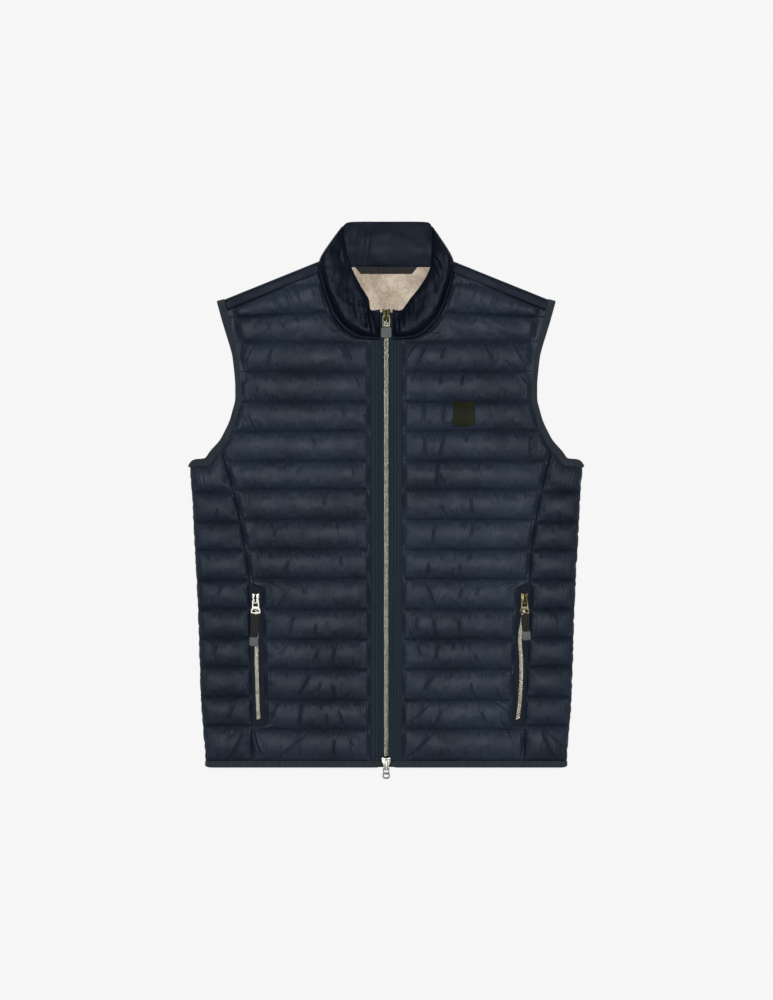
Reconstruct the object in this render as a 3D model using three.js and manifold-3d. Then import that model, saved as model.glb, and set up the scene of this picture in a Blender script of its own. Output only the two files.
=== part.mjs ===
// A quilted gilet with its zip closed, lying flat on its back.
// Millimetres. +X is to the viewer's right, +Y runs from hem to collar and +Z is up.
// Y in the tables is the height above the hem's edge, and x is the distance from the zip.
// The names right and left are the wearer's, so the right front has negative x.

import * as THREE from 'three';
import Module from 'manifold-3d';
import { mergeVertices } from 'three/addons/utils/BufferGeometryUtils.js';

// Layers, from the surface it lies on
const SEAM_GAP = 0.3;
const BACK_TOP = 8.0;
const FRONT_INSIDE = 8.4;
const STITCHED_WALL = 2.6;
const LOFT = 10.5;
const LAYER_MIDDLE = 8.2;

// Overall layout
const COLLAR_TOP = 746.5;
const PULL_LOW = -16.16;
const BOX_MIDDLE_Y = (COLLAR_TOP + PULL_LOW) / 2;
const HEM_BINDING = 9;
const PANEL_BOTTOM = HEM_BINDING + SEAM_GAP;
const SIDE_WRAP = 28;
const FOLD_RISE = 1.4;

// Front zip
const TAPE_INNER = 3.6;
const TAPE_OUTER = 21.3;
const TAPE_BOTTOM = 9.6;
const TAPE_TOP = 11.0;
const TAPE_END = 622;
const HEM_END = 8.6;
const CHAIN_WIDTH = 6.2;
const CHAIN_TOP = 12.8;
const CHAIN_START = 15.2;
const CHAIN_END = 612.2;

// Sliders and pulls
const SLIDER_HEIGHT = 3.7;
const SLIDER_SEAT = 0.3;
const BRIDGE_WIDTH = 2.2;
const BRIDGE_BAR = 1.3;
const WINDOW_LENGTH = 3.0;
const WINDOW_HEIGHT = 2.7;
const PULL_THICKNESS = 1.4;
const PULL_BAR = 1.4;
const BOTTOM_PULL_TILT = THREE.MathUtils.degToRad(38);

// Half widths of a slider at its nose and shoulders, and how far it reaches from the pull's bar
const TOP_SLIDER_BODY = { nose: 3.9, shoulder: 5.3, front: -4.2, back: 9.8 };
const BOTTOM_SLIDER_BODY = { nose: 2.6, shoulder: 6, front: -2.9, back: 15 };
const POCKET_SLIDER_BODY = { nose: 3.4, shoulder: 5, front: -6, back: 8.8 };

// Pull plates: half width at each length from the bar, of the plate, its opening and its eye
const HALF_BAR = PULL_BAR / 2;
const TOP_PULL = {
  outline: [{ x: 4.2, y: HALF_BAR }, { x: 5.4, y: -1 }, { x: 5.4, y: -15 }],
  opening: [{ x: 3.2, y: -HALF_BAR }, { x: 3.6, y: -2 }, { x: 3.6, y: -12.6 }],
  end: -15,
};
const BOTTOM_PULL = {
  outline: [
    { x: 3.6, y: HALF_BAR }, { x: 4.5, y: -1 }, { x: 4.3, y: -8 }, { x: 5.3, y: -14 },
    { x: 4.6, y: -17.4 }, { x: 2.2, y: -19.2 },
  ],
  opening: [{ x: 3, y: -HALF_BAR }, { x: 3.1, y: -2 }, { x: 3, y: -8 }],
  eye: [{ x: 3, y: -11 }, { x: 3.6, y: -14 }, { x: 2, y: -16.8 }],
};
const POCKET_PULL = {
  outline: [
    { x: 3.6, y: HALF_BAR }, { x: 4.6, y: -1.2 }, { x: 5, y: -11 }, { x: 7, y: -14.6 },
    { x: 7, y: -18 }, { x: 5.4, y: -19.4 },
  ],
  opening: [{ x: 2.8, y: -HALF_BAR }, { x: 3, y: -2 }, { x: 3.2, y: -9.4 }],
  eye: [{ x: 3, y: -13.4 }, { x: 4.6, y: -15.6 }, { x: 4.2, y: -17.2 }],
  end: -19.4,
};

// Rubber ends of the pulls, and the cloth straps between
const TOP_TAB = { half: 7.3, length: 15, wall: 3, corner: 2 };
const POCKET_TIP = { half: 6, length: 12.2, wall: 3, corner: 1.6 };
const STRAP = { width: 10.6, wall: 1.6, start: POCKET_PULL.end - 0.72 };
const STRAP_YAW = THREE.MathUtils.degToRad(4);

// Pockets: zips set in the side seams
const POCKET_BOTTOM = 60;
const POCKET_TOP = 245;
const POCKET_STEP = 0.6;
const POCKET_TAPE = 23;
const POCKET_TAPE_WALL = 1.6;
const POCKET_CHAIN_WIDTH = 5.8;
const POCKET_CHAIN_WALL = 2.4;
const POCKET_CHAIN_LOW = 66;
const POCKET_CHAIN_HIGH = 222.5;

// The outside of the body from hem to underarm
const OUTLINE = [
  { y: 0, x: 247.5 },
  { y: 24, x: 249 },
  { y: 92, x: 254.4 },
  { y: 160, x: 256.5 },
  { y: 228.5, x: 258.5 },
  { y: 297, x: 262.6 },
  { y: 365, x: 266 },
  { y: 406, x: 269.4 },
  { y: 416, x: 270 },
];

// The armhole's edge from underarm to shoulder, with the width of its binding
const ARMHOLE = [
  { y: 416.8, x: 267.5, width: 12 },
  { y: 421, x: 262, width: 12 },
  { y: 423, x: 247.5, width: 12 },
  { y: 433, x: 240, width: 11.5 },
  { y: 446.7, x: 227.8, width: 10 },
  { y: 460.3, x: 220.3, width: 9 },
  { y: 474, x: 214, width: 8.5 },
  { y: 487.6, x: 210, width: 8.5 },
  { y: 501.3, x: 206.6, width: 8.5 },
  { y: 515, x: 206.3, width: 8.5 },
  { y: 528.6, x: 206.6, width: 8.5 },
  { y: 555.9, x: 209.4, width: 8.5 },
  { y: 569.5, x: 212, width: 8.5 },
  { y: 596.8, x: 220.3, width: 9.5 },
  { y: 610.4, x: 224.4, width: 10.5 },
  { y: 632.5, x: 230.5, width: 11 },
];

// The seam between front and side panel, on each side. Its last row, at the armhole's binding, is added below
const SIDE_SEAM = [
  { y: 9, right: 182.4, left: 188 },
  { y: POCKET_TOP + POCKET_STEP, right: 185, left: 195.2 },
  { y: 294, right: 191.2, left: 197.5 },
  { y: 350, right: 201.5, left: 206 },
  { y: 390, right: 211.3, left: 214.6 },
];
const SEAM_TOP_X = 225.5;

// The middle of each pocket's zip
const POCKET_LINE = [
  { y: POCKET_BOTTOM, right: 173.5, left: 180 },
  { y: POCKET_TOP, right: 178.6, left: 189.8 },
];

// Quilting lines across a front: their heights at the zip side and at the armhole side
const FRONT_LINES = [
  { inner: PANEL_BOTTOM, outer: PANEL_BOTTOM },
  { inner: 52, outer: 52 },
  { inner: 92, outer: 92 },
  { inner: 134, outer: 134 },
  { inner: 175, outer: 175 },
  { inner: 216, outer: 216 },
  { inner: 258, outer: 258 },
  { inner: 298, outer: 298 },
  { inner: 339, outer: 339 },
  { inner: 380, outer: 380 },
  { inner: 419, outer: 419 },
  { inner: 460, outer: 460 },
  { inner: 500, outer: 500 },
  { inner: 541, outer: 541 },
  { inner: 582, outer: 582 },
  { inner: 623, outer: 615 },
  { inner: 675.4, outer: 624 },
];

// Quilting lines of a side panel, under the shaped line at the underarm
const SIDE_LINES = [PANEL_BOTTOM, 56.6, 96.1, 137.1, 176.6, 216.2, 255.8, 296.7, 334.9, 375.8];
const SIDE_TOP_OUTER = 403.5;
const UNDERARM_EASE = 2.6;

// One quilting channel: how full it is from one line to the next
const CHANNEL = [
  { at: 0, loft: 0 },
  { at: 0.15, loft: 0.66 },
  { at: 0.5, loft: 1 },
  { at: 0.85, loft: 0.66 },
];

// How full a front is from its zip side to its armhole side
const FRONT_COLUMNS = [
  { at: 0, loft: 0 },
  { at: 0.035, loft: 0.62 },
  { at: 0.12, loft: 0.92 },
  { at: 0.35, loft: 1 },
  { at: 0.65, loft: 1 },
  { at: 0.88, loft: 0.92 },
  { at: 0.965, loft: 0.62 },
  { at: 1, loft: 0 },
];

// Shoulder: the fold line, and the strip that goes over it
const SHOULDER_NECK = new THREE.Vector2(95, 690.5);
const SHOULDER_ALONG = new THREE.Vector2(135, -54.5).normalize();
const SHOULDER_DOWN = new THREE.Vector2(SHOULDER_ALONG.y, -SHOULDER_ALONG.x);
const SHOULDER_START = { fold: 1.8, front: 3.6 };
const SHOULDER_FRONT = 14;
const SHOULDER_BACK = 20;

// Section of the shoulder strip: distance down from the fold, outer and inner height
const SHOULDER_SECTION = [
  { outerDown: SHOULDER_FRONT, outerZ: 11, innerDown: SHOULDER_FRONT, innerZ: 8.6 },
  { outerDown: 9, outerZ: 12.6, innerDown: 9, innerZ: 8.6 },
  { outerDown: 3.5, outerZ: 12.2, innerDown: 6, innerZ: 8.6 },
  { outerDown: 0, outerZ: 6.4, innerDown: 4.5, innerZ: 8.3 },
  { outerDown: 3.5, outerZ: 0.6, innerDown: 6, innerZ: 8 },
  { outerDown: 7, outerZ: 0, innerDown: 8, innerZ: 8 },
  { outerDown: SHOULDER_BACK, outerZ: 0, innerDown: SHOULDER_BACK, innerZ: 8 },
];

// Collar stations from the zip to the side fold: neck seam, top edge on the right and on the left,
// how full, and the underside
const COLLAR_FRONT = [
  { baseX: 8.6, baseY: 584.6, topX: 8.6, leftTopX: 8.6, topY: 626, full: 0.35, under: 11.8 },
  { baseX: 22, baseY: 584.4, topX: 21, leftTopX: 21, topY: 625, full: 0.9, under: 11.8 },
  { baseX: 42, baseY: 587, topX: 24, leftTopX: 32.5, topY: 640, full: 1, under: 10.4 },
  { baseX: 62.5, baseY: 602, topX: 34.4, leftTopX: 46, topY: 657, full: 1, under: 10.4 },
  { baseX: 76, baseY: 622.5, topX: 46, leftTopX: 59, topY: 680, full: 1, under: 10.4 },
  { baseX: 87, baseY: 652.7, topX: 52.4, leftTopX: 61.5, topY: 699.7, full: 1, under: 10.4 },
  { baseX: 92, baseY: 672, topX: 56, leftTopX: 62, topY: 718, full: 1, under: 10.4 },
  { baseX: 93.2, baseY: 684, topX: 59.5, leftTopX: 62.3, topY: 738, full: 1, under: 10.4 },
];
const COLLAR_BACK = [
  { baseX: 93.2, baseY: 684.4, topX: 59.5, leftTopX: 62.3, topY: 740 },
  { baseX: 74, baseY: 684.4, topX: 52, leftTopX: 57, topY: 745.5 },
  { baseX: 45, baseY: 684.3, topX: 33, leftTopX: 36, topY: COLLAR_TOP },
  { baseX: 22, baseY: 684.3, topX: 16, leftTopX: 17, topY: COLLAR_TOP },
  { baseX: 0, baseY: 684.3, topX: 0, leftTopX: 0, topY: COLLAR_TOP },
];
const COLLAR_FOLD_OUT = new THREE.Vector2(0.84, 0.54);
const COLLAR_FOLD_REACH = { least: 0.9, share: 0.35 };
const COLLAR_STEPS = 2;

// How thick the collar is from neck seam to top edge
const COLLAR_COLUMNS = [
  { at: 0, thick: 3.6 },
  { at: 0.12, thick: 7 },
  { at: 0.35, thick: 10 },
  { at: 0.65, thick: 10 },
  { at: 0.88, thick: 7.4 },
  { at: 1, thick: 3.4 },
];

// Lining in the neck, and the hanger loop on it
const LINING = [
  { y: 603, x: 34 },
  { y: 625, x: 38 },
  { y: 655, x: 56 },
  { y: 683.6, x: 68 },
];
const LINING_BOTTOM = BACK_TOP + SEAM_GAP;
const LINING_WALL = 1.0;
const LOOP = { low: 674.2, high: 683.8, lowHalf: 34.8, highHalf: 42.8, wall: 1.6 };

// Chest patch, and the quilting line under it
const PATCH = { x: 106, y: 482.5, width: 30, height: 33, wall: 1.4, line: 11 };

const MATERIALS = {
  shell: new THREE.MeshStandardMaterial({ color: 0x2c333d, roughness: 0.62 }),
  side: new THREE.MeshStandardMaterial({ color: 0x272d38, roughness: 0.62 }),
  binding: new THREE.MeshStandardMaterial({ color: 0x30353d, roughness: 0.85 }),
  tape: new THREE.MeshStandardMaterial({ color: 0x232d35, roughness: 0.9 }),
  lining: new THREE.MeshStandardMaterial({ color: 0xb8a794, roughness: 0.6 }),
  loop: new THREE.MeshStandardMaterial({ color: 0x333232, roughness: 0.9 }),
  patch: new THREE.MeshStandardMaterial({ color: 0x282b23, roughness: 0.7 }),
  teeth: new THREE.MeshStandardMaterial({ color: 0x9a937f, roughness: 0.35, metalness: 1 }),
  bronze: new THREE.MeshStandardMaterial({ color: 0x6f6344, roughness: 0.4, metalness: 1 }),
  nickel: new THREE.MeshStandardMaterial({ color: 0xc9c8c2, roughness: 0.25, metalness: 1 }),
  rubber: new THREE.MeshStandardMaterial({ color: 0x55585a, roughness: 0.8 }),
  strap: new THREE.MeshStandardMaterial({ color: 0x1e211c, roughness: 0.85 }),
};

const wasm = await Module();
wasm.setup();
const garment = new THREE.Group();
garment.position.set(0, -BOX_MIDDLE_Y, 0);

const { lerp, inverseLerp, clamp } = THREE.MathUtils;

// Reads a table's column at a value of its key, straight between rows
function lookUp(table, key, column, value) {
  const ascending = table[0][key] < table[table.length - 1][key];
  const rows = ascending ? table : [...table].reverse();
  let upper = rows.findIndex((row) => row[key] >= value);
  if (upper < 0) upper = rows.length - 1;
  if (upper === 0) upper = 1;
  const below = rows[upper - 1];
  const above = rows[upper];
  const share = clamp(inverseLerp(below[key], above[key], value), 0, 1);
  return lerp(below[column], above[column], share);
}

// Turns a shell's triangles so that they face out
function facingOut(position, index) {
  let volume = 0;
  const a = new THREE.Vector3();
  const b = new THREE.Vector3();
  const c = new THREE.Vector3();
  for (let i = 0; i < index.length; i += 3) {
    a.fromArray(position, index[i] * 3);
    b.fromArray(position, index[i + 1] * 3);
    c.fromArray(position, index[i + 2] * 3);
    volume += a.dot(b.cross(c));
  }
  if (volume < 0) index.reverse();
  const geometry = new THREE.BufferGeometry();
  geometry.setAttribute('position', new THREE.Float32BufferAttribute(position, 3));
  geometry.setIndex(index);
  return geometry;
}

// A cloth wall between an outer and an inner sheet, each a list of rows of points
function wall(outer, inner) {
  const rows = outer.length;
  const columns = outer[0].length;
  const position = [outer, inner].flat(2).flatMap((point) => point.toArray());
  const index = [];
  const at = (sheet, row, column) => (sheet * rows + row) * columns + column;
  const quad = (a, b, c, d) => index.push(a, b, c, a, c, d);
  for (let r = 0; r < rows - 1; r++) {
    for (let c = 0; c < columns - 1; c++) {
      quad(at(0, r, c), at(0, r, c + 1), at(0, r + 1, c + 1), at(0, r + 1, c));
      quad(at(1, r, c), at(1, r + 1, c), at(1, r + 1, c + 1), at(1, r, c + 1));
    }
    const end = columns - 1;
    quad(at(0, r, 0), at(0, r + 1, 0), at(1, r + 1, 0), at(1, r, 0));
    quad(at(0, r + 1, end), at(0, r, end), at(1, r, end), at(1, r + 1, end));
  }
  for (let c = 0; c < columns - 1; c++) {
    const end = rows - 1;
    quad(at(0, 0, c + 1), at(0, 0, c), at(1, 0, c), at(1, 0, c + 1));
    quad(at(0, end, c), at(0, end, c + 1), at(1, end, c + 1), at(1, end, c));
  }
  return facingOut(position, index);
}

// A strip of tape along a path: each step has a point, the tape's width direction and its half sizes
function strip(steps, closed) {
  const section = [[-1, -0.6], [-0.8, -1], [0.8, -1], [1, -0.6], [1, 0.6], [0.8, 1], [-0.8, 1], [-1, 0.6]];
  const count = section.length;
  const position = [];
  steps.forEach((step, i) => {
    const last = steps.length - 1;
    const before = steps[closed ? (i + last) % steps.length : Math.max(i - 1, 0)];
    const after = steps[closed ? (i + 1) % steps.length : Math.min(i + 1, last)];
    const ahead = after.point.clone().sub(before.point).normalize();
    const across = step.across.clone().addScaledVector(ahead, -step.across.dot(ahead)).normalize();
    const up = ahead.clone().cross(across).normalize();
    for (const [w, t] of section) {
      const corner = step.point.clone();
      corner.addScaledVector(across, w * step.halfWidth).addScaledVector(up, t * step.halfWall);
      position.push(...corner.toArray());
    }
  });
  const index = [];
  const spans = closed ? steps.length : steps.length - 1;
  for (let s = 0; s < spans; s++) {
    const next = (s + 1) % steps.length;
    for (let k = 0; k < count; k++) {
      const j = (k + 1) % count;
      index.push(s * count + k, s * count + j, next * count + j);
      index.push(s * count + k, next * count + j, next * count + k);
    }
  }
  if (!closed) {
    const end = (steps.length - 1) * count;
    for (let k = 1; k < count - 1; k++) {
      index.push(0, k + 1, k);
      index.push(end, end + k, end + k + 1);
    }
  }
  return facingOut(position, index);
}

function solidOf(geometry) {
  const bare = geometry.clone();
  bare.deleteAttribute('normal');
  bare.deleteAttribute('uv');
  const merged = mergeVertices(bare, 1e-4);
  return new wasm.Manifold(new wasm.Mesh({
    numProp: 3,
    vertProperties: new Float32Array(merged.attributes.position.array),
    triVerts: new Uint32Array(merged.index.array),
  }));
}

function joined(first, ...others) {
  const whole = others.reduce((sum, geometry) => sum.add(solidOf(geometry)), solidOf(first));
  const mesh = whole.getMesh();
  const geometry = new THREE.BufferGeometry();
  geometry.setAttribute('position', new THREE.Float32BufferAttribute(mesh.vertProperties, 3));
  geometry.setIndex([...mesh.triVerts]);
  return geometry;
}

function add(name, geometry, material, place = [0, 0, 0], turn = [0, 0, 0]) {
  const mesh = new THREE.Mesh(geometry, MATERIALS[material]);
  mesh.name = name;
  mesh.position.set(...place);
  mesh.rotation.set(...turn);
  garment.add(mesh);
}

function box(width, length, height) {
  return new THREE.BoxGeometry(width, length, height);
}

// Armhole edge moved in by a share of its binding's width, plus a gap
function armholeInside(share, gap) {
  return ARMHOLE.map((row, i) => {
    const before = ARMHOLE[Math.max(i - 1, 0)];
    const after = ARMHOLE[Math.min(i + 1, ARMHOLE.length - 1)];
    const along = new THREE.Vector2(after.x - before.x, after.y - before.y).normalize();
    const distance = row.width * share + gap;
    return { x: row.x - along.y * distance, y: row.y + along.x * distance, width: row.width };
  });
}

const BINDING_EDGE = armholeInside(1, 0.6);
const SEAM_TOP_Y = lookUp(BINDING_EDGE, 'x', 'y', SEAM_TOP_X);
SIDE_SEAM.push({ y: SEAM_TOP_Y, right: SEAM_TOP_X, left: SEAM_TOP_X });

// Rows of a quilted panel: the heights of both ends and how full the cloth is there
function channelRows(lines, extraHeights) {
  const rows = [];
  for (let i = 0; i < lines.length - 1; i++) {
    for (const { at, loft } of CHANNEL) {
      rows.push({
        inner: lerp(lines[i].inner, lines[i + 1].inner, at),
        outer: lerp(lines[i].outer, lines[i + 1].outer, at),
        loft,
      });
    }
  }
  rows.push({ ...lines[lines.length - 1], loft: 0 });
  const extra = extraHeights.map((y) => ({
    inner: y,
    outer: lookUp(rows, 'inner', 'outer', y),
    loft: lookUp(rows, 'inner', 'loft', y),
  }));
  return [...rows, ...extra].sort((a, b) => a.inner - b.inner);
}

// Both panels bend with the seam and stop at the pocket at the same heights
const POCKET_ENDS = [POCKET_BOTTOM - POCKET_STEP, POCKET_BOTTOM, POCKET_TOP];
const SHARED_HEIGHTS = [...POCKET_ENDS, ...SIDE_SEAM.slice(1, -1).map((row) => row.y)];
const NECK = collarFrontStations().map((station) => station.base).filter((point) => point.x >= TAPE_OUTER);
const neckHeights = NECK.slice(1).map((point) => point.y).filter((y) => y < FRONT_LINES.at(-1).inner - 1);
const frontRows = channelRows(FRONT_LINES, [...SHARED_HEIGHTS, SEAM_TOP_Y, ...neckHeights]);

const besidePocket = (y) => y >= POCKET_BOTTOM && y <= POCKET_TOP;
const pocketEdge = POCKET_TAPE / 2 + SEAM_GAP;

function frontZipSide(y) {
  if (y <= NECK[0].y) return TAPE_OUTER + SEAM_GAP;
  return lookUp(NECK, 'y', 'x', y) + 3 * SEAM_GAP;
}

function frontArmSide(hand, y) {
  if (besidePocket(y)) return lookUp(POCKET_LINE, 'y', hand, y) - pocketEdge;
  if (y <= SEAM_TOP_Y) return lookUp(SIDE_SEAM, 'y', hand, y) - SEAM_GAP / 2;
  return lookUp(BINDING_EDGE, 'y', 'x', y);
}

function sideSeamSide(hand, y) {
  if (besidePocket(y)) return lookUp(POCKET_LINE, 'y', hand, y) + pocketEdge;
  return lookUp(SIDE_SEAM, 'y', hand, y) + SEAM_GAP / 2;
}

function frontPanel(hand, sign) {
  const outer = [];
  const inner = [];
  for (const row of frontRows) {
    const zipX = frontZipSide(row.inner);
    const armX = frontArmSide(hand, row.outer);
    const points = FRONT_COLUMNS.map(({ at, loft }) => ({
      x: sign * lerp(zipX, armX, at),
      y: lerp(row.inner, row.outer, at),
      z: FRONT_INSIDE + STITCHED_WALL + LOFT * row.loft * loft,
    }));
    outer.push(points.map((p) => new THREE.Vector3(p.x, p.y, p.z)));
    inner.push(points.map((p) => new THREE.Vector3(p.x, p.y, FRONT_INSIDE)));
  }
  return wall(outer, inner);
}

// The side panel's section at one row, from its front seam round the fold to its back seam
function sideSection(seamX, foldX, backX, loft) {
  const width = foldX - seamX;
  const top = (share) => FRONT_INSIDE + STITCHED_WALL + LOFT * loft * share;
  return {
    outer: [
      { x: seamX, z: top(0) },
      { x: seamX + width * 0.07, z: top(0.62) },
      { x: seamX + width * 0.4, z: top(1) },
      { x: foldX - 14, z: top(0.92) },
      { x: foldX - 3.5, z: top(0.48) },
      { x: foldX, z: LAYER_MIDDLE },
      { x: foldX - 3.5, z: 2.6 - loft },
      { x: foldX - 11, z: 0 },
      { x: backX, z: 0 },
    ],
    inner: [
      { x: seamX, z: FRONT_INSIDE },
      { x: seamX + width * 0.07, z: FRONT_INSIDE },
      { x: seamX + width * 0.4, z: FRONT_INSIDE },
      { x: foldX - 14, z: FRONT_INSIDE },
      { x: foldX - 7, z: FRONT_INSIDE },
      { x: foldX - 5, z: LAYER_MIDDLE },
      { x: foldX - 7, z: BACK_TOP },
      { x: foldX - 11, z: BACK_TOP },
      { x: backX, z: BACK_TOP },
    ],
  };
}

function sidePanel(hand, sign) {
  const lines = SIDE_LINES.map((y) => ({ inner: y, outer: y }));
  const shapedFrom = SIDE_LINES[SIDE_LINES.length - 1];
  const rows = channelRows([...lines, { inner: SEAM_TOP_Y, outer: SIDE_TOP_OUTER }], SHARED_HEIGHTS);
  const outer = [];
  const inner = [];
  for (const row of rows) {
    const outline = lookUp(OUTLINE, 'y', 'x', row.outer);
    const foldX = outline - FOLD_RISE * (1 - row.loft);
    const share = inverseLerp(shapedFrom, SEAM_TOP_Y, row.inner);
    const height = (x) => {
      if (row.inner <= shapedFrom) return row.inner;
      const armhole = lookUp(BINDING_EDGE, 'x', 'y', Math.max(x, SEAM_TOP_X));
      return lerp(shapedFrom, armhole - UNDERARM_EASE, share);
    };
    const backX = lookUp(OUTLINE, 'y', 'x', height(outline - SIDE_WRAP)) - SIDE_WRAP;
    const section = sideSection(sideSeamSide(hand, row.inner), foldX, backX, row.loft);
    const place = (p) => new THREE.Vector3(sign * p.x, height(p.x), p.z);
    outer.push(section.outer.map(place));
    inner.push(section.inner.map(place));
  }
  return wall(outer, inner);
}

function shoulderPoint(along, down) {
  return SHOULDER_NECK.clone().addScaledVector(SHOULDER_ALONG, along).addScaledVector(SHOULDER_DOWN, down);
}

// Where a line along the shoulder starts beside the collar, which leans away from it
function shoulderStart(down) {
  return lerp(SHOULDER_START.fold, SHOULDER_START.front, down / SHOULDER_FRONT);
}

// How far a line along the shoulder runs before it meets the armhole's binding
function shoulderEnd(down) {
  const [from, to] = BINDING_EDGE.slice(-2).map((row) => new THREE.Vector2(row.x, row.y));
  const edge = to.sub(from);
  return from.sub(shoulderPoint(0, down)).cross(edge) / SHOULDER_ALONG.cross(edge);
}

function shoulderStrip(sign) {
  const outer = [];
  const inner = [];
  const steps = 8;
  for (let i = 0; i <= steps; i++) {
    const place = (down, z) => {
      const plan = shoulderPoint(lerp(shoulderStart(down), shoulderEnd(down), i / steps), down);
      return new THREE.Vector3(sign * plan.x, plan.y, z);
    };
    outer.push(SHOULDER_SECTION.map((row) => place(row.outerDown, row.outerZ)));
    inner.push(SHOULDER_SECTION.map((row) => place(row.innerDown, row.innerZ)));
  }
  return wall(outer, inner);
}

// Half the back panel's width at a height
function backHalf(y) {
  const seam = SHOULDER_BACK + SEAM_GAP;
  const outerEnd = shoulderPoint(shoulderEnd(seam), seam);
  const neckEnd = shoulderPoint(shoulderStart(seam), seam);
  if (y >= neckEnd.y) return neckEnd.x;
  if (y >= outerEnd.y) return lerp(outerEnd.x, neckEnd.x, inverseLerp(outerEnd.y, neckEnd.y, y));
  const side = lookUp(OUTLINE, 'y', 'x', y) - SIDE_WRAP - 2 * SEAM_GAP;
  if (y < BINDING_EDGE[0].y) return side;
  return Math.min(side, lookUp(BINDING_EDGE, 'y', 'x', y));
}

function backPanel() {
  const seam = SHOULDER_BACK + SEAM_GAP;
  const outerEnd = shoulderPoint(shoulderEnd(seam), seam).y;
  const neckEnd = shoulderPoint(shoulderStart(seam), seam).y;
  const edge = BINDING_EDGE.map((row) => row.y).filter((y) => y < outerEnd - 1);
  const heights = [PANEL_BOTTOM, ...OUTLINE.map((row) => row.y).slice(1, -1), ...edge, outerEnd];
  heights.push(lerp(outerEnd, neckEnd, 0.5), neckEnd, COLLAR_FRONT.at(-1).baseY);
  heights.sort((a, b) => a - b);
  const columns = [-1, -0.96, 0, 0.96, 1];
  const edgeZ = 5;
  const outer = [];
  const inner = [];
  for (const y of heights) {
    const half = backHalf(y);
    outer.push(columns.map((at) => new THREE.Vector3(at * half, y, 0)));
    inner.push(columns.map((at) => new THREE.Vector3(at * half, y, Math.abs(at) === 1 ? edgeZ : BACK_TOP)));
  }
  return wall(outer, inner);
}

// Collar stations on one side, smooth between the rows of the table
function collarFrontStations(topX = 'topX') {
  const curve = (xName, yName) => new THREE.CatmullRomCurve3(
    COLLAR_FRONT.map((row) => new THREE.Vector3(row[xName], row[yName], 0)), false, 'centripetal');
  const base = curve('baseX', 'baseY');
  const top = curve(topX, 'topY');
  const spans = COLLAR_FRONT.length - 1;
  const count = spans * COLLAR_STEPS;
  return Array.from({ length: count + 1 }, (_, i) => {
    const row = COLLAR_FRONT[Math.min(Math.floor(i / COLLAR_STEPS), spans)];
    const next = COLLAR_FRONT[Math.min(Math.floor(i / COLLAR_STEPS) + 1, spans)];
    const share = (i % COLLAR_STEPS) / COLLAR_STEPS;
    return {
      base: base.getPoint(i / count),
      top: top.getPoint(i / count),
      full: lerp(row.full, next.full, share),
      under: lerp(row.under, next.under, share),
    };
  });
}

function collarHalf(topX) {
  const rows = [];
  const section = (base, top, place) => {
    const points = COLLAR_COLUMNS.map(({ at, thick }) => {
      const plan = new THREE.Vector2(lerp(base.x, top.x, at), lerp(base.y, top.y, at));
      return place(plan, thick);
    });
    rows.push({ outer: points.map((p) => p.outer), inner: points.map((p) => p.inner) });
  };
  const pair = (outerPlan, outerZ, innerPlan, innerZ) => ({
    outer: new THREE.Vector3(outerPlan.x, outerPlan.y, outerZ),
    inner: new THREE.Vector3(innerPlan.x, innerPlan.y, innerZ),
  });
  for (const station of collarFrontStations(topX)) {
    section(station.base, station.top, (plan, thick) =>
      pair(plan, station.under + thick * station.full, plan, station.under));
  }
  const last = COLLAR_FRONT.at(-1);
  const foldBase = new THREE.Vector2(last.baseX, last.baseY);
  const foldTop = new THREE.Vector2(last[topX], last.topY);
  const middle = 10.2;
  const slant = Math.SQRT1_2;
  const out = (plan, distance) => plan.clone().addScaledVector(COLLAR_FOLD_OUT, distance);
  const reach = (thick) => COLLAR_FOLD_REACH.least + COLLAR_FOLD_REACH.share * thick;
  section(foldBase, foldTop, (plan, thick) =>
    pair(out(plan, reach(thick) * slant), middle + thick * slant, out(plan, 0.3), middle + 0.1));
  section(foldBase, foldTop, (plan, thick) => pair(out(plan, reach(thick)), middle, out(plan, 0.5), middle));
  section(foldBase, foldTop, (plan, thick) =>
    pair(out(plan, reach(thick) * slant), Math.max(0, middle - thick) / 2,
      out(plan, 0.3), (middle + thick - 0.2) / 2));
  for (const row of COLLAR_BACK) {
    const base = new THREE.Vector2(row.baseX, row.baseY);
    const top = new THREE.Vector2(row[topX], row.topY);
    section(base, top, (plan, thick) => pair(plan, 0, plan, thick));
  }
  return rows;
}

function collar() {
  const right = collarHalf('topX');
  const left = collarHalf('leftTopX');
  const flip = (points) => points.map((p) => new THREE.Vector3(-p.x, p.y, p.z));
  const mirrored = right.slice(0, -1).map((row) => ({ outer: flip(row.outer), inner: flip(row.inner) }));
  const rows = [...left, ...mirrored.reverse()];
  return wall(rows.map((row) => row.outer), rows.map((row) => row.inner));
}

// Heights of the front and back runs of a binding, and half its thickness there
const FRONT_RUN = { z: 10.65, halfWall: 1.95 };
const BACK_RUN = { z: 2.5, halfWall: 2.5 };
const TURN_OUT = 3.2;
const TURN_SLANT = 0.8;

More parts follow.
